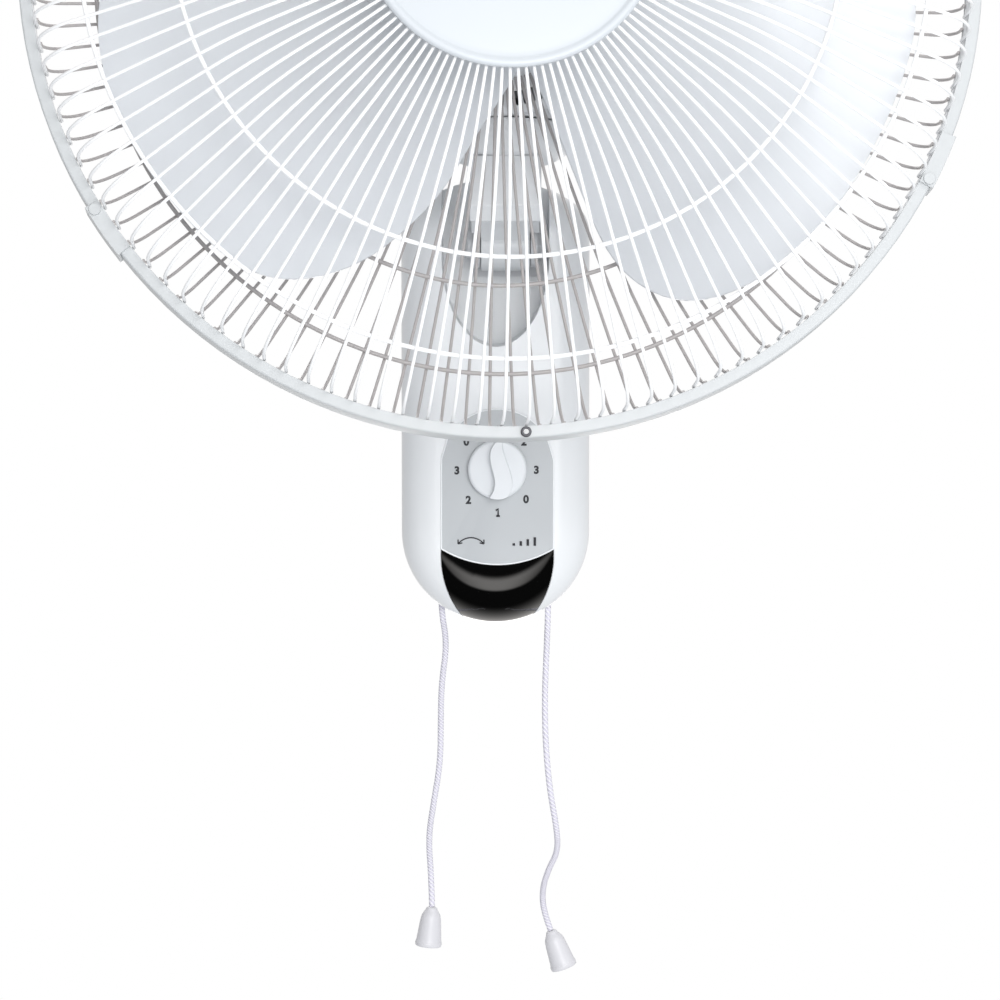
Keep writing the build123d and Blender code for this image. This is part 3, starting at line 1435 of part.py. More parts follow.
with BuildPart() as guard_screws:
    with BuildSketch(head.offset(front_plate_front - guard_plate_thickness)):
        Circle(cap_screw_radius)
    extrude(amount=guard_plate_thickness + cap_rim_height)
    with BuildSketch(head.offset(front_plate_front - guard_plate_thickness)):
        Circle(cap_screw_head)
    extrude(amount=-motor_bolt_head)
    with BuildSketch(head.offset(hoop_half_width + seat_gap)):
        with PolarLocations((hoop_lip_radius + guard_radius) / 2, 1, start_angle=straight_down + clip_phase):
            Circle(hoop_screw_head_radius)
    extrude(amount=hoop_screw_head)
guard_screws.part.label = "guard_screws"
export_step(guard_screws.part, "parts/guard_screws.step")

# ================================================================ swing drive
with BuildPart() as swing_motor:
    with BuildSketch(head_level.offset(axle_height + support_top + seat_gap)):
        with Locations((0, crank_reach)):
            Circle(swing_motor_radius)
    extrude(amount=swing_motor_height)
    with BuildSketch(head_level.offset(axle_height + support_top)):
        with Locations((0, crank_reach)):
            Circle(crank_shaft_radius + running_gap)
    extrude(amount=crank_shaft_depth + moving_gap, mode=Mode.SUBTRACT)
swing_motor.part.label = "swing_motor"
export_step(swing_motor.part, "parts/swing_motor.step")

crank_turn = math.radians(crank_phase)
crank_pin = (crank_throw * math.cos(crank_turn), crank_reach + crank_throw * math.sin(crank_turn))

with BuildPart() as swing_crank:
    with BuildSketch(head_level.offset(crank_level)):
        with Locations((0, crank_reach)):
            Circle(crank_radius)
    extrude(amount=crank_thickness)
    with BuildSketch(head_level.offset(crank_level)):
        with Locations((0, crank_reach)):
            Circle(crank_shaft_radius)
    extrude(amount=axle_height + support_top + crank_shaft_depth - crank_level)
    with BuildSketch(head_level.offset(link_level - moving_gap)):
        with Locations(crank_pin):
            Circle(crank_pin_radius)
    extrude(amount=crank_level - link_level + moving_gap)
swing_crank.part.label = "swing_crank"
export_step(swing_crank.part, "parts/swing_crank.step")

link_frame = Plane(
    origin=head_level.from_local_coords((crank_pin[0], crank_pin[1], link_level)),
    x_dir=head_forward * math.cos(math.radians(link_lean)) - head_right * math.sin(math.radians(link_lean)),
    z_dir=neck_up,
)

with BuildPart() as swing_link:
    with BuildSketch(link_frame):
        with BuildLine():
            Polyline((0, 0), link_bow, (link_reach, 0))
        trace(line_width=2 * link_half_width)
        with Locations((0, 0), link_bow):
            Circle(link_half_width)
        with Locations((link_reach, 0)):
            Circle(link_eye_radius)
            Circle(link_eye_hole, mode=Mode.SUBTRACT)
        Circle(crank_pin_radius + running_gap, mode=Mode.SUBTRACT)
    extrude(amount=link_thickness)
swing_link.part.label = "swing_link"
export_step(swing_link.part, "parts/swing_link.step")


# ================================================================ blade
def polar_point(radius, angle):
    """A point given by its radius and its angle in degrees."""
    turn = math.radians(angle)
    return (radius * math.cos(turn), radius * math.sin(turn))


blade_edge = [polar_point(radius, angle) for radius, angle in blade_lead + blade_tip + blade_trail]
blade_hub_depth = blade_hub_front - blade_hub_back

with BuildPart() as one_blade:
    for place, level, slope in blade_stations:
        rise = blade_half_span * slope
        with BuildSketch(Plane(origin=(place, 0, 0), x_dir=(0, 1, 0), z_dir=(1, 0, 0))):
            with BuildLine():
                under = ThreePointArc(
                    (-blade_half_span, level - rise),
                    (0, level + blade_camber),
                    (blade_half_span, level + rise),
                )
                upper = ThreePointArc(
                    (-blade_half_span, level - rise + blade_thickness),
                    (0, level + blade_camber + blade_thickness),
                    (blade_half_span, level + rise + blade_thickness),
                )
                Line(under @ 1, upper @ 1)
                Line(under @ 0, upper @ 0)
            make_face()
    loft()
    with BuildSketch(Plane.XY.offset(-blade_half_span)):
        with BuildLine():
            edge = Spline(*blade_edge)
            Line(edge @ 1, edge @ 0)
        make_face()
    extrude(amount=2 * blade_half_span, mode=Mode.INTERSECT)
    with BuildSketch(Plane.XY.offset(blade_hub_back)):
        Circle(blade_hub_radius - blade_hub_wall / 2)
    extrude(amount=blade_hub_depth, mode=Mode.SUBTRACT)

with BuildPart(head) as blade:
    with PolarLocations(0, blade_count, start_angle=blade_phase):
        add(one_blade.part)
    with BuildSketch(head.offset(blade_hub_back)):
        Circle(blade_hub_radius)
    extrude(amount=blade_hub_depth)
    with BuildSketch(head.offset(blade_hub_back)):
        Circle(blade_hub_radius - blade_hub_wall)
    extrude(amount=blade_hub_depth - blade_hub_wall, mode=Mode.SUBTRACT)
    with BuildSketch(head.offset(blade_hub_back)):
        Circle(blade_boss_radius)
    extrude(amount=blade_hub_front - blade_hub_wall - blade_hub_back)
    with BuildSketch(head.offset(blade_hub_back)):
        Circle(shaft_radius)
    extrude(amount=blade_hub_front - blade_hub_back, mode=Mode.SUBTRACT)
    with BuildSketch(head.offset(blade_hub_back)):
        Rectangle(drive_pin_length + moving_gap, 2 * (drive_pin_radius + running_gap))
    extrude(amount=drive_pin_place + drive_pin_radius + running_gap - blade_hub_back, mode=Mode.SUBTRACT)
blade.part.label = "blade"
export_step(blade.part, "parts/blade.step")

with BuildPart() as blade_nut:
    with BuildSketch(head.offset(blade_hub_front)):
        Circle(blade_nut_radius)
    extrude(amount=blade_nut_length)
    fillet(blade_nut.faces().sort_by(motor_axis)[-1].edges(), radius=blade_nut_edge)
    with BuildSketch(head.offset(blade_hub_front)):
        Circle(shaft_radius)
    extrude(amount=shaft_front - blade_hub_front, mode=Mode.SUBTRACT)
blade_nut.part.label = "blade_nut"
export_step(blade_nut.part, "parts/blade_nut.step")


# ================================================================ pull cords
def pull_bell(top, lean):
    """A bell-shaped pull hanging from the cord's end, leaning to the right by lean degrees."""
    turn = math.radians(lean)
    side = Vector(math.cos(turn), 0, math.sin(turn))
    down = Vector(math.sin(turn), 0, -math.cos(turn))
    with BuildPart() as bell:
        with BuildSketch(Plane(origin=top, x_dir=side, z_dir=(0, -1, 0))):
            with BuildLine():
                Line((0, -bell_seat), (bell_top_radius, -bell_seat))
                dome = ThreePointArc(
                    (bell_top_radius, -bell_seat),
                    (bell_shoulder_radius - bell_dome_bend[0], -bell_dome * bell_dome_bend[1]),
                    (bell_shoulder_radius, -bell_dome),
                )
                Polyline(dome @ 1, (bell_radius, -bell_length), (0, -bell_length), (0, -bell_seat))
            make_face()
        revolve(axis=Axis(top, down))
    return bell.part


swing_points = spread(swing_route, swing_route_y)
speed_points = spread(speed_route, speed_route_y)
swing_radii = arc_radii(swing_points)
speed_radii = arc_radii(speed_points)
swing_tube, swing_length = bent_tube(swing_points, swing_radii, cord_radius)
speed_tube, speed_length = bent_tube(speed_points, speed_radii, cord_radius)

with BuildPart() as swing_cord:
    add(swing_tube)
swing_cord.part.label = "swing_cord"
export_step(swing_cord.part, "parts/swing_cord.step")

with BuildPart() as speed_cord:
    add(speed_tube)
speed_cord.part.label = "speed_cord"
export_step(speed_cord.part, "parts/speed_cord.step")

with BuildPart() as swing_bell:
    add(pull_bell(swing_points[-1], swing_bell_lean))
swing_bell.part.label = "swing_bell"
export_step(swing_bell.part, "parts/swing_bell.step")

with BuildPart() as speed_bell:
    add(pull_bell(speed_points[-1], speed_bell_lean))
speed_bell.part.label = "speed_bell"
export_step(speed_bell.part, "parts/speed_bell.step")

cord_section = math.pi * cord_radius**2
for name, part, length, radii in (
    ("swing cord", swing_cord.part, swing_length, swing_radii),
    ("speed cord", speed_cord.part, speed_length, speed_radii),
):
    print(name, "length", round(length, 1), "volume share", round(part.volume / (length * cord_section), 4))
    print("   radii", [round(radius, 1) for radius in radii])
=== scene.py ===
import json
import math

import bmesh
import bpy
from mathutils import Matrix, Vector


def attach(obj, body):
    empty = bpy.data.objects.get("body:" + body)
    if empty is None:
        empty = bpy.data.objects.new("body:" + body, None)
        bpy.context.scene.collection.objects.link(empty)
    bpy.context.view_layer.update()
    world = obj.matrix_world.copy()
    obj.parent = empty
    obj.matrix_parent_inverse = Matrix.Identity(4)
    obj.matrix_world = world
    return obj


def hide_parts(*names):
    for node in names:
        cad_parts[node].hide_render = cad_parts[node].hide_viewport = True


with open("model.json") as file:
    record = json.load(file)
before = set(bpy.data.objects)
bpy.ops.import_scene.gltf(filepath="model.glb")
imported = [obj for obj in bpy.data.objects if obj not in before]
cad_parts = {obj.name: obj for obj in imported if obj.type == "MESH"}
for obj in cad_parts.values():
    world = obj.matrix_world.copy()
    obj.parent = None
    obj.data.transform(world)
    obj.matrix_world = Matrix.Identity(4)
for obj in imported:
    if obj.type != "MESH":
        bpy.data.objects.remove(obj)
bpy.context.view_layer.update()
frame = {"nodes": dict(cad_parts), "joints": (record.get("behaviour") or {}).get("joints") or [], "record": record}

# Everything is in metres, in the fan's own frame: the wall is y = 0, +Z is up and the fan faces -Y.
# Profiles, routes and places on the panel are written in millimetres and scaled by MM.
MM = 0.001
nodes = frame["nodes"]
joints = {joint["name"]: joint for joint in frame["joints"]}

# ---------------------------------------------------------------- the head's own frame
# x to the right across the guard, y up, z forward along the motor axis, from the guard's rim plane
spin = joints["spin"]
head_forward = Vector(spin["axis"]).normalized()
head_up = Vector(joints["swing"]["axis"]).normalized()
head_right = head_up.cross(head_forward)
head_frame = Matrix.Identity(4)
for column, axis in enumerate((head_right, head_up, head_forward, Vector(spin["pos_m"]))):
    for row in range(3):
        head_frame[row][column] = axis[row]


def head_point(radius, angle, level):
    """A point by its radius and angle (in degrees) round the motor axis and its place along it."""
    turn = math.radians(angle)
    return head_frame @ Vector((radius * math.cos(turn), radius * math.sin(turn), level))


def link(obj):
    """Adds an object to the scene."""
    bpy.context.scene.collection.objects.link(obj)
    return obj


# ---------------------------------------------------------------- camera
CAMERA_PLACE = Vector((2.3, -1824.1, 84.3)) * MM
CAMERA_PITCH = -4.33
SENSOR_WIDTH = 36
FOCAL_WIDTHS = 3.467          # focal length in picture widths

camera_data = bpy.data.cameras.new("camera")
camera_data.sensor_width = SENSOR_WIDTH
camera_data.lens = FOCAL_WIDTHS * camera_data.sensor_width
camera = link(bpy.data.objects.new("camera", camera_data))
camera.location = CAMERA_PLACE
camera.rotation_euler = (math.radians(90 + CAMERA_PITCH), 0, 0)
bpy.context.scene.camera = camera

# ---------------------------------------------------------------- pull cords
CORD_RADIUS = 1.5 * MM
CORD_Y = -70.0
CORD_STEPS = 16               # points of the curve between two points of the route
CORD_ROUNDNESS = 6
BEVEL_UNIT = 1.0              # a curve point's own radius is the cord's radius in this unit
SWING_ROUTE = [
    (-27.8, 0, -87.0), (-27.8, 0, -104.0), (-24.6, -0.6, -121.5), (-27.5, -1.0, -142.0),
    (-27.9, -0.4, -160.0), (-28.1, 0.5, -183.0), (-32.0, 0.8, -206.0), (-34.3, 0.3, -222.0),
    (-32.9, -0.3, -241.0), (-32.5, -0.2, -257.0),
]
SPEED_ROUTE = [
    (26.8, 0, -86.0), (26.8, 0, -104.0), (26.1, -0.4, -123.0), (25.1, -0.9, -146.0),
    (25.3, -1.1, -170.0), (27.5, -0.3, -196.0), (31.4, 0.6, -217.5), (31.9, 1.0, -229.0),
    (26.9, 0.7, -238.5), (23.9, 0.1, -248.5), (24.5, -0.3, -259.5), (28.2, -0.4, -269.3),
]
SWING_CORD_LENGTH = 170.8 * MM
SPEED_CORD_LENGTH = 185.8 * MM
SWING_BELL_LEAN = -5.5
SPEED_BELL_LEAN = 20.0
BELL_SEGMENTS = 64
# radius and height from the cord's end
BELL_PROFILE = [
    (0.0, -0.2), (1.9, -0.2), (2.5, -0.5), (2.9, -1.2), (3.2, -2.0), (3.9, -3.0), (4.7, -4.4),
    (5.1, -5.8), (5.35, -7.5), (5.7, -10.5), (6.05, -14.0), (6.4, -17.3), (6.55, -18.0),
    (6.8, -18.4), (6.85, -19.2), (6.7, -20.2), (6.4, -20.5), (5.6, -20.45), (5.2, -20.0),
    (0.0, -18.8),
]


def cord_point(point):
    """A point of a cord's route, in the frame's metres."""
    x, y, z = point
    return (x * MM, (CORD_Y + y) * MM, z * MM)


def cord_curve(name, route):
    """A cord as a smooth curve with the route's points as its control points."""
    data = bpy.data.curves.new(name, "CURVE")
    data.dimensions = "3D"
    data.resolution_u = CORD_STEPS
    data.bevel_depth = BEVEL_UNIT
    data.bevel_resolution = CORD_ROUNDNESS
    data.use_fill_caps = True
    spline = data.splines.new("NURBS")
    spline.points.add(len(route) - 1)
    for point, place in zip(spline.points, route):
        point.co = (*cord_point(place), 1)
        point.radius = CORD_RADIUS / BEVEL_UNIT
    spline.order_u = 3
    spline.use_endpoint_u = True
    return link(bpy.data.objects.new(name, data))


def lathe(name, profile, place, segments):
    """A profile of (radius, height) points in millimetres, turned round the z axis of place."""
    mesh = bmesh.new()
    turns = [2 * math.pi * step / segments for step in range(segments)]
    rings = []
    for radius_mm, height_mm in profile:
        radius, height = radius_mm * MM, height_mm * MM
        rings.append([
            mesh.verts.new((radius * math.cos(turn), radius * math.sin(turn), height))
            for turn in (turns if radius else turns[:1])
        ])
    for lower, upper in zip(rings, rings[1:]):
        for step in range(segments):
            after = (step + 1) % segments
            face = [lower[step % len(lower)]]
            for corner in (
                lower[after % len(lower)], upper[after % len(upper)], upper[step % len(upper)],
            ):
                if corner not in face:
                    face.append(corner)
            mesh.faces.new(face)
    bmesh.ops.recalc_face_normals(mesh, faces=mesh.faces)
    data = bpy.data.meshes.new(name)
    mesh.to_mesh(data)
    mesh.free()
    data.transform(place)
    for polygon in data.polygons:
        polygon.use_smooth = True
    return link(bpy.data.objects.new(name, data))


def bell(name, route, lean):
    """A bell-shaped pull on the end of a cord, leaning to the right by lean degrees."""
    turn = Matrix.Rotation(math.radians(-lean), 4, "Y")
    place = Matrix.Translation(cord_point(route[-1])) @ turn
    return lathe(name, BELL_PROFILE, place, BELL_SEGMENTS)


swing_cord = cord_curve("visual_swing_cord", SWING_ROUTE)
speed_cord = cord_curve("visual_speed_cord", SPEED_ROUTE)
swing_bell = bell("visual_swing_bell", SWING_ROUTE, SWING_BELL_LEAN)
speed_bell = bell("visual_speed_bell", SPEED_ROUTE, SPEED_BELL_LEAN)
for cord, route, length, pull, cord_node, bell_node, body in (
    (swing_cord, SWING_ROUTE, SWING_CORD_LENGTH, swing_bell, "swing_cord", "swing_bell",
     "swing_pull"),
    (speed_cord, SPEED_ROUTE, SPEED_CORD_LENGTH, speed_bell, "speed_cord", "speed_bell",
     "speed_pull"),
):
    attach(cord, body)
    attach(pull, body)
    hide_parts(cord_node)
    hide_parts(bell_node)


# ---------------------------------------------------------------- shader nodes
def feed(tree, socket, value):
    """Gives a socket a constant, or links it to another node's output."""
    if isinstance(value, bpy.types.NodeSocket):
        tree.links.new(value, socket)
    else:
        socket.default_value = value


def add_node(tree, kind, inputs=None):
    """A shader node with its inputs, each a constant or another node's output."""
    node = tree.nodes.new("ShaderNode" + kind)
    for name, value in (inputs or {}).items():
        feed(tree, node.inputs[name], value)
    return node


def calculated(tree, operation, *values):
    """The result of one sum on constants and other nodes' outputs."""
    node = tree.nodes.new("ShaderNodeMath")
    node.operation = operation
    for socket, value in zip(node.inputs, values):
        feed(tree, socket, value)
    return node.outputs["Value"]


def ranged(tree, source, low, high, first, last):
    """A value mapped smoothly from low..high to first..last."""
    node = add_node(tree, "MapRange", {
        "Value": source, "From Min": low, "From Max": high, "To Min": first, "To Max": last,
    })
    node.interpolation_type = "SMOOTHSTEP"
    return node.outputs["Result"]


def blended(tree, share, first, second):
    """The colour that is share of the way from the first colour to the second."""
    node = tree.nodes.new("ShaderNodeMix")
    node.data_type = "RGBA"
    for name, value in (("A", (*first, 1)), ("B", (*second, 1)), ("Factor", share)):
        feed(tree, node.inputs[name], value)
    return node.outputs["Result"]


def mixed(tree, share, first, second):
    """Two shaders mixed, by the share of the second."""
    return add_node(tree, "MixShader", {"Fac": share, 1: first, 2: second}).outputs["Shader"]


def node_of(material, kind):
    """The one node of that kind in a material."""
    return next(node for node in material.node_tree.nodes if node.type == kind)


# ---------------------------------------------------------------- materials
CLOUD_SCALE = 14
CLOUD_DETAIL = 3
GRAIN_SCALE = 900.0
GRAIN_DETAIL = 2
GRAIN_HEIGHT = 0.2 * MM
EDGE_SAMPLES = 4
COAT_ROUGHNESS = 0.08
SEEN_THROUGH = 0.35           # share of the light that a blade lets through
CROWN_TOP = -82.0 * MM        # height below which the black cap leans back more and more
CROWN_RADIUS = 80.0 * MM      # radius of that slow bend
CROWN_ARCH = 18.0             # how fast that height rises to the sides, per metre
CORD_TURNS = 34
CORD_STRANDS = 3
# painted shade in the cord's grooves: a darker, bluer share of its colour
CORD_GROOVE_SHADE = (0.80, 0.78, 0.86)      # how much of the cord's colour is left in its grooves
CORD_GROOVE_DEPTH = 0.35 * MM
CORD_ROUGHNESS = 0.6


def new_material(name):
    """An empty node material with its output, as (material, tree, output)."""
    material = bpy.data.materials.new(name)
    material.use_nodes = True
    tree = material.node_tree
    tree.nodes.clear()
    return material, tree, add_node(tree, "OutputMaterial")


def moulded(
    name, colour, roughness=0.35, coat=0.0, grain=0.02, edge=0.4 * MM, specular=0.5, metallic=0.0,
    shade=0.93,
):
    """Moulded or painted surface: a faint cloudy tint, a fine grain and softened edges."""
    material, tree, output = new_material(name)
    place = add_node(tree, "TexCoord").outputs["Object"]
    cloud = add_node(tree, "TexNoise", {
        "Vector": place, "Scale": CLOUD_SCALE, "Detail": CLOUD_DETAIL,
    })
    fine_grain = add_node(tree, "TexNoise", {
        "Vector": place, "Scale": GRAIN_SCALE, "Detail": GRAIN_DETAIL,
    })
    soft_edge = add_node(tree, "Bevel", {"Radius": edge})
    soft_edge.samples = EDGE_SAMPLES
    bump = add_node(tree, "Bump", {
        "Strength": grain, "Distance": GRAIN_HEIGHT, "Height": fine_grain.outputs["Fac"],
        "Normal": soft_edge.outputs["Normal"],
    })
    shaded = [value * shade for value in colour]
    shader = add_node(tree, "BsdfPrincipled", {
        "Base Color": blended(tree, cloud.outputs["Fac"], shaded, colour),
        "Roughness": roughness, "Metallic": metallic, "Coat Weight": coat,
        "Coat Roughness": COAT_ROUGHNESS, "Specular IOR Level": specular,
        "Normal": bump.outputs["Normal"],
    })
    feed(tree, output.inputs["Surface"], shader.outputs["BSDF"])
    return material


def blade_plastic(name, colour):
    """Thin, slightly see-through plastic of the blades."""
    material = moulded(name, colour, roughness=0.28, coat=0.2, grain=0.01)
    tree = material.node_tree
    solid = node_of(material, "BSDF_PRINCIPLED").outputs["BSDF"]
    through = add_node(tree, "BsdfTranslucent", {"Color": (*colour, 1)}).outputs["BSDF"]
    output = node_of(material, "OUTPUT_MATERIAL")
    feed(tree, output.inputs["Surface"], mixed(tree, SEEN_THROUGH, solid, through))
    return material


def crowned(material):
    """Makes a material's surface lean back slowly below CROWN_TOP, as a crowned face does."""
    tree = material.node_tree
    shader = node_of(material, "BSDF_PRINCIPLED")
    flat_normal = node_of(material, "BUMP").outputs["Normal"]
    place = add_node(tree, "TexCoord").outputs["Object"]
    split = add_node(tree, "SeparateXYZ", {"Vector": place})
    aside = split.outputs["X"]
    start = calculated(
        tree, "MULTIPLY_ADD", calculated(tree, "MULTIPLY", aside, aside), CROWN_ARCH, CROWN_TOP,
    )
    below = calculated(tree, "SUBTRACT", start, split.outputs["Z"])
    kept = calculated(tree, "MAXIMUM", below, 0)
    square = calculated(tree, "MULTIPLY", kept, kept)
    fall = calculated(tree, "MULTIPLY", square, -0.5 / CROWN_RADIUS)
    lean = add_node(tree, "Bump", {
        "Strength": 1.0, "Distance": 1.0, "Height": fall, "Normal": flat_normal,
    })
    feed(tree, shader.inputs["Normal"], lean.outputs["Normal"])
    feed(tree, shader.inputs["Coat Normal"], lean.outputs["Normal"])
    return material


def twisted_cord(name, colour):
    """Twisted cord: helical grooves that follow the curve's own coordinates, with painted shade in the grooves."""
    material, tree, output = new_material(name)
    place = add_node(tree, "TexCoord").outputs["UV"]
    split = add_node(tree, "SeparateXYZ", {"Vector": place})
    along = calculated(tree, "MULTIPLY", split.outputs["X"], CORD_TURNS * CORD_STRANDS)
    around = calculated(tree, "MULTIPLY_ADD", split.outputs["Y"], CORD_STRANDS, along)
    wave = calculated(tree, "PINGPONG", around, 0.5)
    strand = ranged(tree, wave, 0, 0.5, 0, 1)
    # painted shade: the grooves take a darker copy of the cord's colour
    groove_shade = [value * share for value, share in zip(colour, CORD_GROOVE_SHADE)]
    bump = add_node(tree, "Bump", {
        "Strength": 1.0, "Distance": CORD_GROOVE_DEPTH, "Height": strand,
    })
    shader = add_node(tree, "BsdfPrincipled", {
        "Base Color": blended(tree, strand, groove_shade, colour), "Roughness": CORD_ROUGHNESS,
        "Normal": bump.outputs["Normal"],
    })
    feed(tree, output.inputs["Surface"], shader.outputs["BSDF"])
    return material


body_white = moulded("body white", (0.81, 0.828, 0.844), roughness=0.33, coat=0.15)
panel_silver = moulded("panel silver", (0.50, 0.522, 0.54), roughness=0.42, grain=0.05)
panel_trim = moulded("panel trim", (0.9, 0.92, 0.94), roughness=0.3)
gloss_black = crowned(moulded("gloss black", (0.002, 0.002, 0.002), roughness=0.06, grain=0.0))
knob_white = moulded("knob white", (0.76, 0.785, 0.81), roughness=0.35)
pull_white = moulded("pull white", (0.72, 0.715, 0.745), roughness=0.4)
guard_white = moulded(
    "guard white", (0.94, 0.945, 0.95), roughness=0.5, edge=0.2 * MM, shade=0.98,
)
# The rear half of the guard is as white as the front; this darker grey is painted shade.
rear_guard_painted_shade = moulded("rear guard painted shade", (0.46, 0.435, 0.43), roughness=0.35, edge=0.2 * MM)
hoop_white = moulded("hoop white", (0.575, 0.595, 0.605), roughness=0.45)
cap_white = moulded("cap white", (0.62, 0.655, 0.69), roughness=0.4)
blade_blue = blade_plastic("blade plastic", (0.84, 0.86, 0.885))
cord_white = twisted_cord("cord white", (0.86, 0.85, 0.90))
steel = moulded("steel", (0.5, 0.5, 0.51), roughness=0.35, metallic=1.0)
plated_steel = moulded("plated steel", (0.74, 0.75, 0.77), roughness=0.5)
screw_grey = moulded("screw grey", (0.62, 0.62, 0.62), roughness=0.4)
cast_grey = moulded("cast grey", (0.42, 0.43, 0.45), roughness=0.6, metallic=0.6)
core_dark = moulded("core dark", (0.12, 0.12, 0.13), roughness=0.55, metallic=0.7)
copper = moulded("copper", (0.55, 0.24, 0.10), roughness=0.4, metallic=0.8)
bronze = moulded("bronze", (0.45, 0.30, 0.14), roughness=0.4, metallic=0.9)
inner_plastic = moulded("inner plastic", (0.72, 0.70, 0.66), roughness=0.5)
rubber_black = moulded("rubber", (0.02, 0.02, 0.02), roughness=0.7)
print_grey = moulded("print grey", (0.045, 0.045, 0.05), roughness=0.6, specular=0.2)

SLOT_MATERIALS = {
    "body": body_white, "panel": panel_silver, "black_gloss": gloss_black, "knob": knob_white,
    "pull": pull_white, "cord": cord_white, "cap": cap_white, "hoop": hoop_white,
    "guard": guard_white, "blade": blade_blue, "steel": steel, "cast": cast_grey,
    "laminations": core_dark, "copper": copper, "bronze": bronze, "spring": steel,
    "inner_plastic": inner_plastic, "rubber": rubber_black,
}
PLATED_NODES = ("hinge_bracket", "hinge_pin", "hinge_nut")     # pale plated steel behind the guard
WELD_REACH = 1e-6
SHARP_ANGLE = 32              # edges that turn by more than this stay sharp


def paint(obj, material):
    """Gives an object one material."""
    obj.data.materials.clear()
    obj.data.materials.append(material)
    return obj


def soften(obj):
    """Smooth shading that keeps the sharp edges of a solid's mesh."""
    weld = obj.modifiers.new("weld", "WELD")
    weld.merge_threshold = WELD_REACH
    edge_split = obj.modifiers.new("edge split", "EDGE_SPLIT")
    edge_split.split_angle = math.radians(SHARP_ANGLE)
    obj.data.polygons.foreach_set("use_smooth", [True] * len(obj.data.polygons))
    obj.data.update()


for subpart in frame["record"]["subparts"]:
    node = nodes[subpart["node"]]
    plated = subpart["node"] in PLATED_NODES
    paint(node, plated_steel if plated else SLOT_MATERIALS[subpart["material_slot"]])
    soften(node)

paint(swing_cord, cord_white)
paint(speed_cord, cord_white)
paint(swing_bell, pull_white)
paint(speed_bell, pull_white)

# ---------------------------------------------------------------- guard
WIRE_COUNT = 120
WIRE_RADIUS = 0.75 * MM
WIRE_ROUNDNESS = 3
RING_RADIUS = 1.0 * MM
RIM_WIRE_RADIUS = 2.2 * MM
RIM_CIRCLE = 216.35 * MM
RING_STEPS = 180
ARC_STEPS = 10
FRONT_PHASE = 197.85          # first front wire, in degrees from the right, turning upwards
REAR_SHIFT = 1.75             # how far on the first rear wire is
# a wire's side view, by radius and height: its start, its knee, its corner and its end
FRONT_PROFILE = ((46.0, 72.6), (126.4, 73.7), (213.35, 36.2), (213.35, 1.5))
FRONT_BENDS = (90.0, 26.0)
FRONT_RING_CIRCLES = (148.5, 190.4)
REAR_PROFILE = ((44.0, -39.2), (130.0, -37.1), (213.35, -15.8), (213.35, -1.5))
REAR_BENDS = (90.0, 15.0)
REAR_RING_CIRCLES = (144.0, 187.0)


def wire_profile(profile, bends):
    """Side view of a guard wire by radius and height: straight runs joined by tangent arcs."""
    corners = [Vector(corner) * MM for corner in profile]
    points = [corners[0]]
    for before, corner, after, bend in zip(corners, corners[1:], corners[2:], bends):
        back = (before - corner).normalized()
        onward = (after - corner).normalized()
        half = back.angle(onward) / 2
        reach = bend * MM / math.tan(half)
        centre = corner + (back + onward).normalized() * bend * MM / math.sin(half)
        start, end = corner + back * reach, corner + onward * reach
        for step in range(ARC_STEPS + 1):
            outward = (start - centre).lerp(end - centre, step / ARC_STEPS)
            points.append(centre + outward.normalized() * bend * MM)
    points.append(corners[-1])
    return points


def ring_centres(profile, circles):
    """Centres of the rings that lie against the inner side of a wire's sloping run."""
    knee, corner = Vector(profile[1]) * MM, Vector(profile[2]) * MM
    along = (corner - knee).normalized()
    inward = Vector((-abs(along.y), -math.copysign(along.x, corner.y)))
    centres = []
    for circle in circles:
        touch = knee + along * (circle * MM - knee.x) / along.x
        centres.append(touch + inward * (WIRE_RADIUS + RING_RADIUS))
    return centres


def round_curve(name, radius):
    """An empty curve object whose splines are round wires of that radius."""
    data = bpy.data.curves.new(name, "CURVE")
    data.dimensions = "3D"
    data.bevel_depth = radius
    data.bevel_resolution = WIRE_ROUNDNESS
    data.use_fill_caps = True
    return link(bpy.data.objects.new(name, data))


def add_wire(curve, points, closed=False):
    """One wire through points."""
    spline = curve.data.splines.new("POLY")
    spline.points.add(len(points) - 1)
    for point, place in zip(spline.points, points):
        point.co = (*place, 1)
    spline.use_cyclic_u = closed


def add_ring(curve, radius, level):
    """One ring round the motor axis."""
    angles = [step * 360 / RING_STEPS for step in range(RING_STEPS)]
    add_wire(curve, [head_point(radius, angle, level) for angle in angles], closed=True)


def guard_wires(name, profile, bends, phase, material):
    """All the wires of one half of the guard."""
    curve = round_curve(name, WIRE_RADIUS)
    side_view = wire_profile(profile, bends)
    for step in range(WIRE_COUNT):
        angle = phase + step * 360 / WIRE_COUNT
        add_wire(curve, [head_point(point.x, angle, point.y) for point in side_view])
    return paint(curve, material)


def guard_rings(name, profile, circles, material):
    """The two support rings of one half of the guard."""
    curve = round_curve(name, RING_RADIUS)
    for centre in ring_centres(profile, circles):
        add_ring(curve, centre.x, centre.y)
    return paint(curve, material)


def rim_wire(name, side):
    """The thick rim wire of one half of the guard."""
    curve = round_curve(name, RIM_WIRE_RADIUS)
    add_ring(curve, RIM_CIRCLE, side * RIM_WIRE_RADIUS)
    return paint(curve, guard_white)


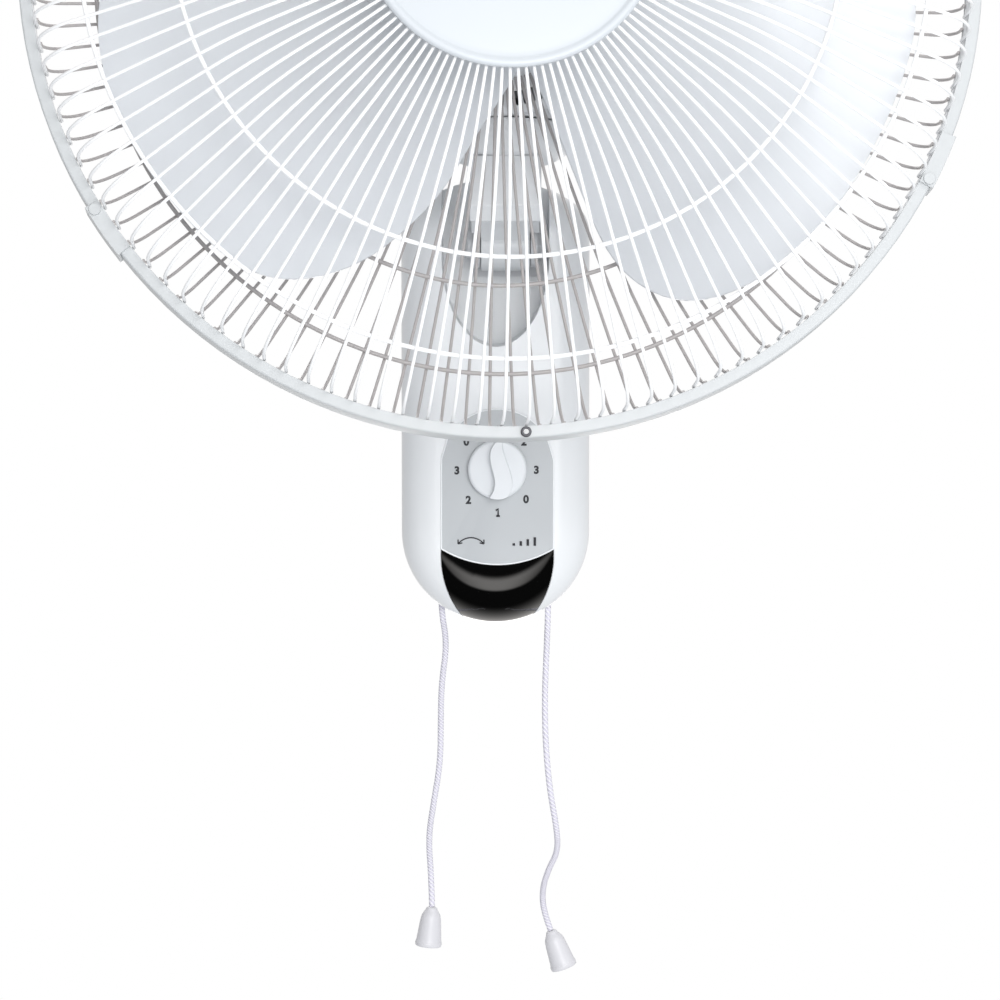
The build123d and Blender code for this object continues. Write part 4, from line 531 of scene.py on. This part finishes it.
front_wires = guard_wires("front_wires", FRONT_PROFILE, FRONT_BENDS, FRONT_PHASE, guard_white)
# the rear wires and rings take the painted shade grey
rear_wires = guard_wires(
    "rear_wires", REAR_PROFILE, REAR_BENDS, FRONT_PHASE + REAR_SHIFT, rear_guard_painted_shade,
)
front_rings = guard_rings("front_rings", FRONT_PROFILE, FRONT_RING_CIRCLES, guard_white)
rear_rings = guard_rings("rear_rings", REAR_PROFILE, REAR_RING_CIRCLES, rear_guard_painted_shade)
front_rim = rim_wire("front_rim_wire", 1)
rear_rim = rim_wire("rear_rim_wire", -1)
for piece, node in (
    (front_wires, "front_guard_wires"), (rear_wires, "rear_guard_wires"),
    (front_rings, "front_guard_rings"), (rear_rings, "rear_guard_rings"),
    (front_rim, "front_guard_rings"), (rear_rim, "rear_guard_rings"),
):
    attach(piece, "head")
    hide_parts(node)

# ---------------------------------------------------------------- centre cap
CAP_SEGMENTS = 160
CAP_PROFILE = [
    (0.0, 78.9), (12.0, 78.85), (26.0, 78.6), (40.0, 78.2), (52.0, 77.75), (60.0, 77.35),
    (62.2, 77.2), (62.9, 77.3), (63.4, 77.8), (64.0, 78.15), (65.0, 78.25), (66.0, 78.1),
    (66.7, 77.6), (67.0, 76.9), (67.0, 76.0), (66.8, 75.6), (64.4, 75.6),
]
guard_cap = paint(lathe("centre_cap", CAP_PROFILE, head_frame, CAP_SEGMENTS), cap_white)
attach(guard_cap, "head")
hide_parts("guard_cap")

# ---------------------------------------------------------------- the hoop's one visible screw
HOOP_SCREW_CIRCLE = 217.25 * MM
HOOP_SCREW_ANGLE = -87.3
SCREW_SEGMENTS = 48
SCREW_RING_PROFILE = [(1.15, 7.6), (1.15, 9.1), (1.3, 9.25), (2.2, 9.25), (2.4, 9.05), (2.4, 7.6)]
SCREW_HEAD_PROFILE = [(0.0, 9.35), (0.7, 9.3), (1.05, 9.1), (1.15, 8.8), (1.15, 7.6)]

screw_frame = head_frame.copy()
screw_frame.translation = head_point(HOOP_SCREW_CIRCLE, HOOP_SCREW_ANGLE, 0)
for name, profile, material in (
    # the dark ring round the head is painted shade, for the shaded gap round the screw
    ("hoop_screw_shade_ring", SCREW_RING_PROFILE, core_dark),
    ("hoop_screw_head", SCREW_HEAD_PROFILE, screw_grey),
):
    piece = lathe(name, profile, screw_frame, SCREW_SEGMENTS)
    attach(paint(piece, material), "head")

# ---------------------------------------------------------------- marks on the control panel
PANEL_FRONT = -96.5           # the panel's face, along y
PRINT_LIFT = 0.04             # how far the print stands on the face
DIGIT_SIZE = 5.3
DIGIT_BOLD = 0.26
# each number with its place, in x and z
DIGITS = [
    ("3", -19.2, -31.9), ("3", 20.5, -31.6), ("2", -13.5, -46.7), ("0", 15.3, -46.3),
    ("0", -14.5, -17.5), ("2", 14.2, -17.5),
]
ONES = [(1.2, -52.8), (1.0, -11.5)]
ONE_STROKES = [[(-1.0, 1.05), (0.15, 1.8), (0.15, -1.8)], [(-0.75, -1.75), (1.0, -1.75)]]
ONE_WIDTH = 1.0


def on_panel(x, z, lift=PRINT_LIFT):
    """A point on the panel's face, in the frame's metres."""
    return Vector((x, PANEL_FRONT - lift, z)) * MM


def digit(name, text, x, z):
    """A printed number standing on the panel's face."""
    data = bpy.data.curves.new(name, "FONT")
    data.body = text
    data.size = DIGIT_SIZE * MM
    data.offset = DIGIT_BOLD * MM
    data.align_x = "CENTER"
    data.align_y = "CENTER"
    data.extrude = PRINT_LIFT / 2 * MM
    obj = link(bpy.data.objects.new(name, data))
    obj.location = on_panel(x, z, PRINT_LIFT / 2)
    obj.rotation_euler = (math.radians(90), 0, 0)
    return paint(obj, print_grey)


def print_lines(name, lines, width, material, lift=0.0, closed=False):
    """Thin raised lines on the panel's face, each a list of (x, z) points."""
    curve = round_curve(name, width / 2 * MM)
    for line in lines:
        add_wire(curve, [on_panel(x, z, lift) for x, z in line], closed)
    return paint(curve, material)


def round_point(centre, radius, angle):
    """A point in x and z by its angle round a centre, in degrees from the right, turning upwards."""
    turn = math.radians(angle)
    return (centre[0] + radius * math.cos(turn), centre[1] + radius * math.sin(turn))


def arc_points(centre, radius, first, last, steps):
    """Points along an arc in x and z, from the first angle to the last."""
    angles = [first + (last - first) * step / steps for step in range(steps + 1)]
    return [round_point(centre, radius, angle) for angle in angles]


for place, (text, x, z) in enumerate(DIGITS):
    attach(digit(f"dial_number_{place}", text, x, z), "column")

one_lines = [
    [(x + across, z + up) for across, up in stroke] for x, z in ONES for stroke in ONE_STROKES
]
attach(print_lines("dial_ones", one_lines, ONE_WIDTH, print_grey), "column")

# a bent arrow with two heads on the swing cord's side, four rising bars on the speed cord's side
SWING_MARK = (-12.2, -73.6)
SWING_MARK_RADIUS = 8.2
SWING_MARK_ENDS = (38.0, 142.0)
SWING_MARK_STEPS = 16
ARROW_REACH = 2.2
ARROW_SPREAD = 38.0
BARS_LEFT = 9.2
BAR_STEP = 3.5
BAR_FOOT = -69.4
BAR_HEIGHTS = (1.2, 2.2, 3.2, 4.2)
ARROW_WIDTH = 0.65
BAR_WIDTH = 1.3

swing_lines = [arc_points(SWING_MARK, SWING_MARK_RADIUS, *SWING_MARK_ENDS, SWING_MARK_STEPS)]
for end, back in ((SWING_MARK_ENDS[0], 90), (SWING_MARK_ENDS[1], -90)):
    tip = round_point(SWING_MARK, SWING_MARK_RADIUS, end)
    for spread in (-ARROW_SPREAD, ARROW_SPREAD):
        swing_lines.append([tip, round_point(tip, ARROW_REACH, end + back + spread)])
speed_lines = []
for place, height in enumerate(BAR_HEIGHTS):
    x = BARS_LEFT + BAR_STEP * place
    speed_lines.append([(x, BAR_FOOT), (x, BAR_FOOT + height)])
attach(print_lines("swing_mark", swing_lines, ARROW_WIDTH, print_grey), "column")
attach(print_lines("speed_mark", speed_lines, BAR_WIDTH, print_grey), "column")

# ---------------------------------------------------------------- thin bead along the panel's edge
PANEL_MIDDLE = 1.0
PANEL_HALF = 28.0
PANEL_TOP = -1.0
PANEL_ARCH = (25.0, -16.0)
PANEL_SIDE_TOP = -26.0
PANEL_SHOULDER = 12.0
PANEL_SIDE_BOTTOM = -71.0
PANEL_BOTTOM = -78.8
BEAD_WIDTH = 0.8
BEAD_LIFT = -0.1              # the bead's middle lies just under the panel's face
BEAD_ARC_STEPS = 32
BEAD_SHOULDER_STEPS = 6


def shallow_arc(half, end_z, middle_z):
    """Points from right to left through (half, end_z), (0, middle_z) and (-half, end_z)."""
    rise = middle_z - end_z
    radius = (half * half + rise * rise) / (2 * abs(rise))
    centre_z = middle_z - math.copysign(radius, rise)
    reach = math.degrees(math.asin(half / radius))
    first, last = (90 - reach, 90 + reach) if rise > 0 else (-90 + reach, -90 - reach)
    return arc_points((0, centre_z), radius, first, last, BEAD_ARC_STEPS)


def shoulder(side):
    """Points, from below, of the rounded corner between a straight side and the arched top."""
    corner = Vector((side * PANEL_HALF, PANEL_SIDE_TOP))
    down = Vector((0, -1))
    up = (Vector((side * PANEL_ARCH[0], PANEL_ARCH[1])) - corner).normalized()
    half = down.angle(up) / 2
    reach = PANEL_SHOULDER / math.tan(half)
    middle = corner + (down + up).normalized() * PANEL_SHOULDER / math.sin(half)
    ends = corner + down * reach - middle, corner + up * reach - middle
    points = []
    for step in range(BEAD_SHOULDER_STEPS + 1):
        outward = ends[0].lerp(ends[1], step / BEAD_SHOULDER_STEPS).normalized()
        points.append(tuple(middle + outward * PANEL_SHOULDER))
    return points


panel_edge = shallow_arc(PANEL_ARCH[0], PANEL_ARCH[1], PANEL_TOP) + shoulder(-1)[::-1]
panel_edge += shallow_arc(PANEL_HALF, PANEL_SIDE_BOTTOM, PANEL_BOTTOM)[::-1] + shoulder(1)
panel_edge = [(PANEL_MIDDLE + x, z) for x, z in panel_edge]
bead = print_lines("panel_bead", [panel_edge], BEAD_WIDTH, panel_trim, BEAD_LIFT, closed=True)
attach(bead, "column")

# ---------------------------------------------------------------- light and backdrop
# each light's name, place, target, size and power
LIGHTS = (
    ("key", (1.3, -1.9, 1.5), (0, -0.15, 0.1), 1.2, 12),
    ("front", (0.35, -2.4, 0.35), (0, -0.15, 0.05), 0.9, 33),
    ("top", (0.1, -0.4, 2.0), (0, -0.15, 0.1), 1.2, 7),
    ("back", (-0.9, 2.0, 0.9), (0, -0.15, 0.1), 1.2, 9),
)
# The backdrop's brightness by direction: from one part of the direction, a smooth step between the
# first two numbers that goes from the third number to the fourth.
PATCH_LOWER_EDGE = (-0.47, -0.33, 0, 1)
PATCH_UPPER_EDGE = (-0.26, -0.17, 1, 0)
PATCH_SIDES = (0.02, 0.3, 3.4, 0)
LIGHT_BEHIND = (-0.1, 0.8, 0.01, 0.9)
LIGHT_ABOVE = (0.05, 0.5, 0.0, 0.7)
ROOM_ACROSS = (-1.0, 1.0, 0.82, 1.05)
ROOM_UPWARD = (-0.7, 0.5, 0.98, 0.38)
MIRROR_COLOUR = (1, 0.975, 0.95)
ROOM_COLOUR = (0.95, 0.97, 1.0)
SEEN_COLOUR = (1, 1, 1)

scene = bpy.context.scene
scene.view_settings.view_transform = "Standard"


def area_light(name, place, target, size, power):
    """A soft square light aimed at a point."""
    data = bpy.data.lights.new(name, "AREA")
    data.size = size
    data.energy = power
    obj = link(bpy.data.objects.new(name, data))
    obj.location = place
    obj.rotation_euler = (Vector(target) - Vector(place)).to_track_quat("-Z", "Y").to_euler()


def background(tree, colour, strength):
    """A backdrop of one colour, with its strength a constant or another node's output."""
    node = add_node(tree, "Background", {"Color": (*colour, 1), "Strength": strength})
    return node.outputs["Background"]


for light in LIGHTS:
    area_light(*light)

world = bpy.data.worlds.new("studio")
world.use_nodes = True
scene.world = world
tree = world.node_tree
tree.nodes.clear()
direction = add_node(tree, "TexCoord").outputs["Generated"]
split = add_node(tree, "SeparateXYZ", {"Vector": direction})
across, backward, upward = (split.outputs[name] for name in "XYZ")
aside = calculated(tree, "ABSOLUTE", across)

# what glossy surfaces mirror: dark straight ahead, a light patch just under it, and light behind
# and above
patch = calculated(
    tree, "MULTIPLY", ranged(tree, upward, *PATCH_LOWER_EDGE),
    ranged(tree, upward, *PATCH_UPPER_EDGE),
)
patch = calculated(tree, "MULTIPLY", patch, ranged(tree, aside, *PATCH_SIDES))
glow = calculated(tree, "ADD", patch, ranged(tree, backward, *LIGHT_BEHIND))
glow = calculated(tree, "ADD", glow, ranged(tree, upward, *LIGHT_ABOVE))
mirror = background(tree, MIRROR_COLOUR, glow)

# what lights everything else, and the plain white that the camera sees
shine = calculated(
    tree, "MULTIPLY", ranged(tree, across, *ROOM_ACROSS), ranged(tree, upward, *ROOM_UPWARD),
)
room = background(tree, ROOM_COLOUR, shine)
seen = background(tree, SEEN_COLOUR, 1.0)
path = add_node(tree, "LightPath")
by_gloss = mixed(tree, path.outputs["Is Glossy Ray"], room, mirror)
by_camera = mixed(tree, path.outputs["Is Camera Ray"], by_gloss, seen)
add_node(tree, "OutputWorld", {"Surface": by_camera})
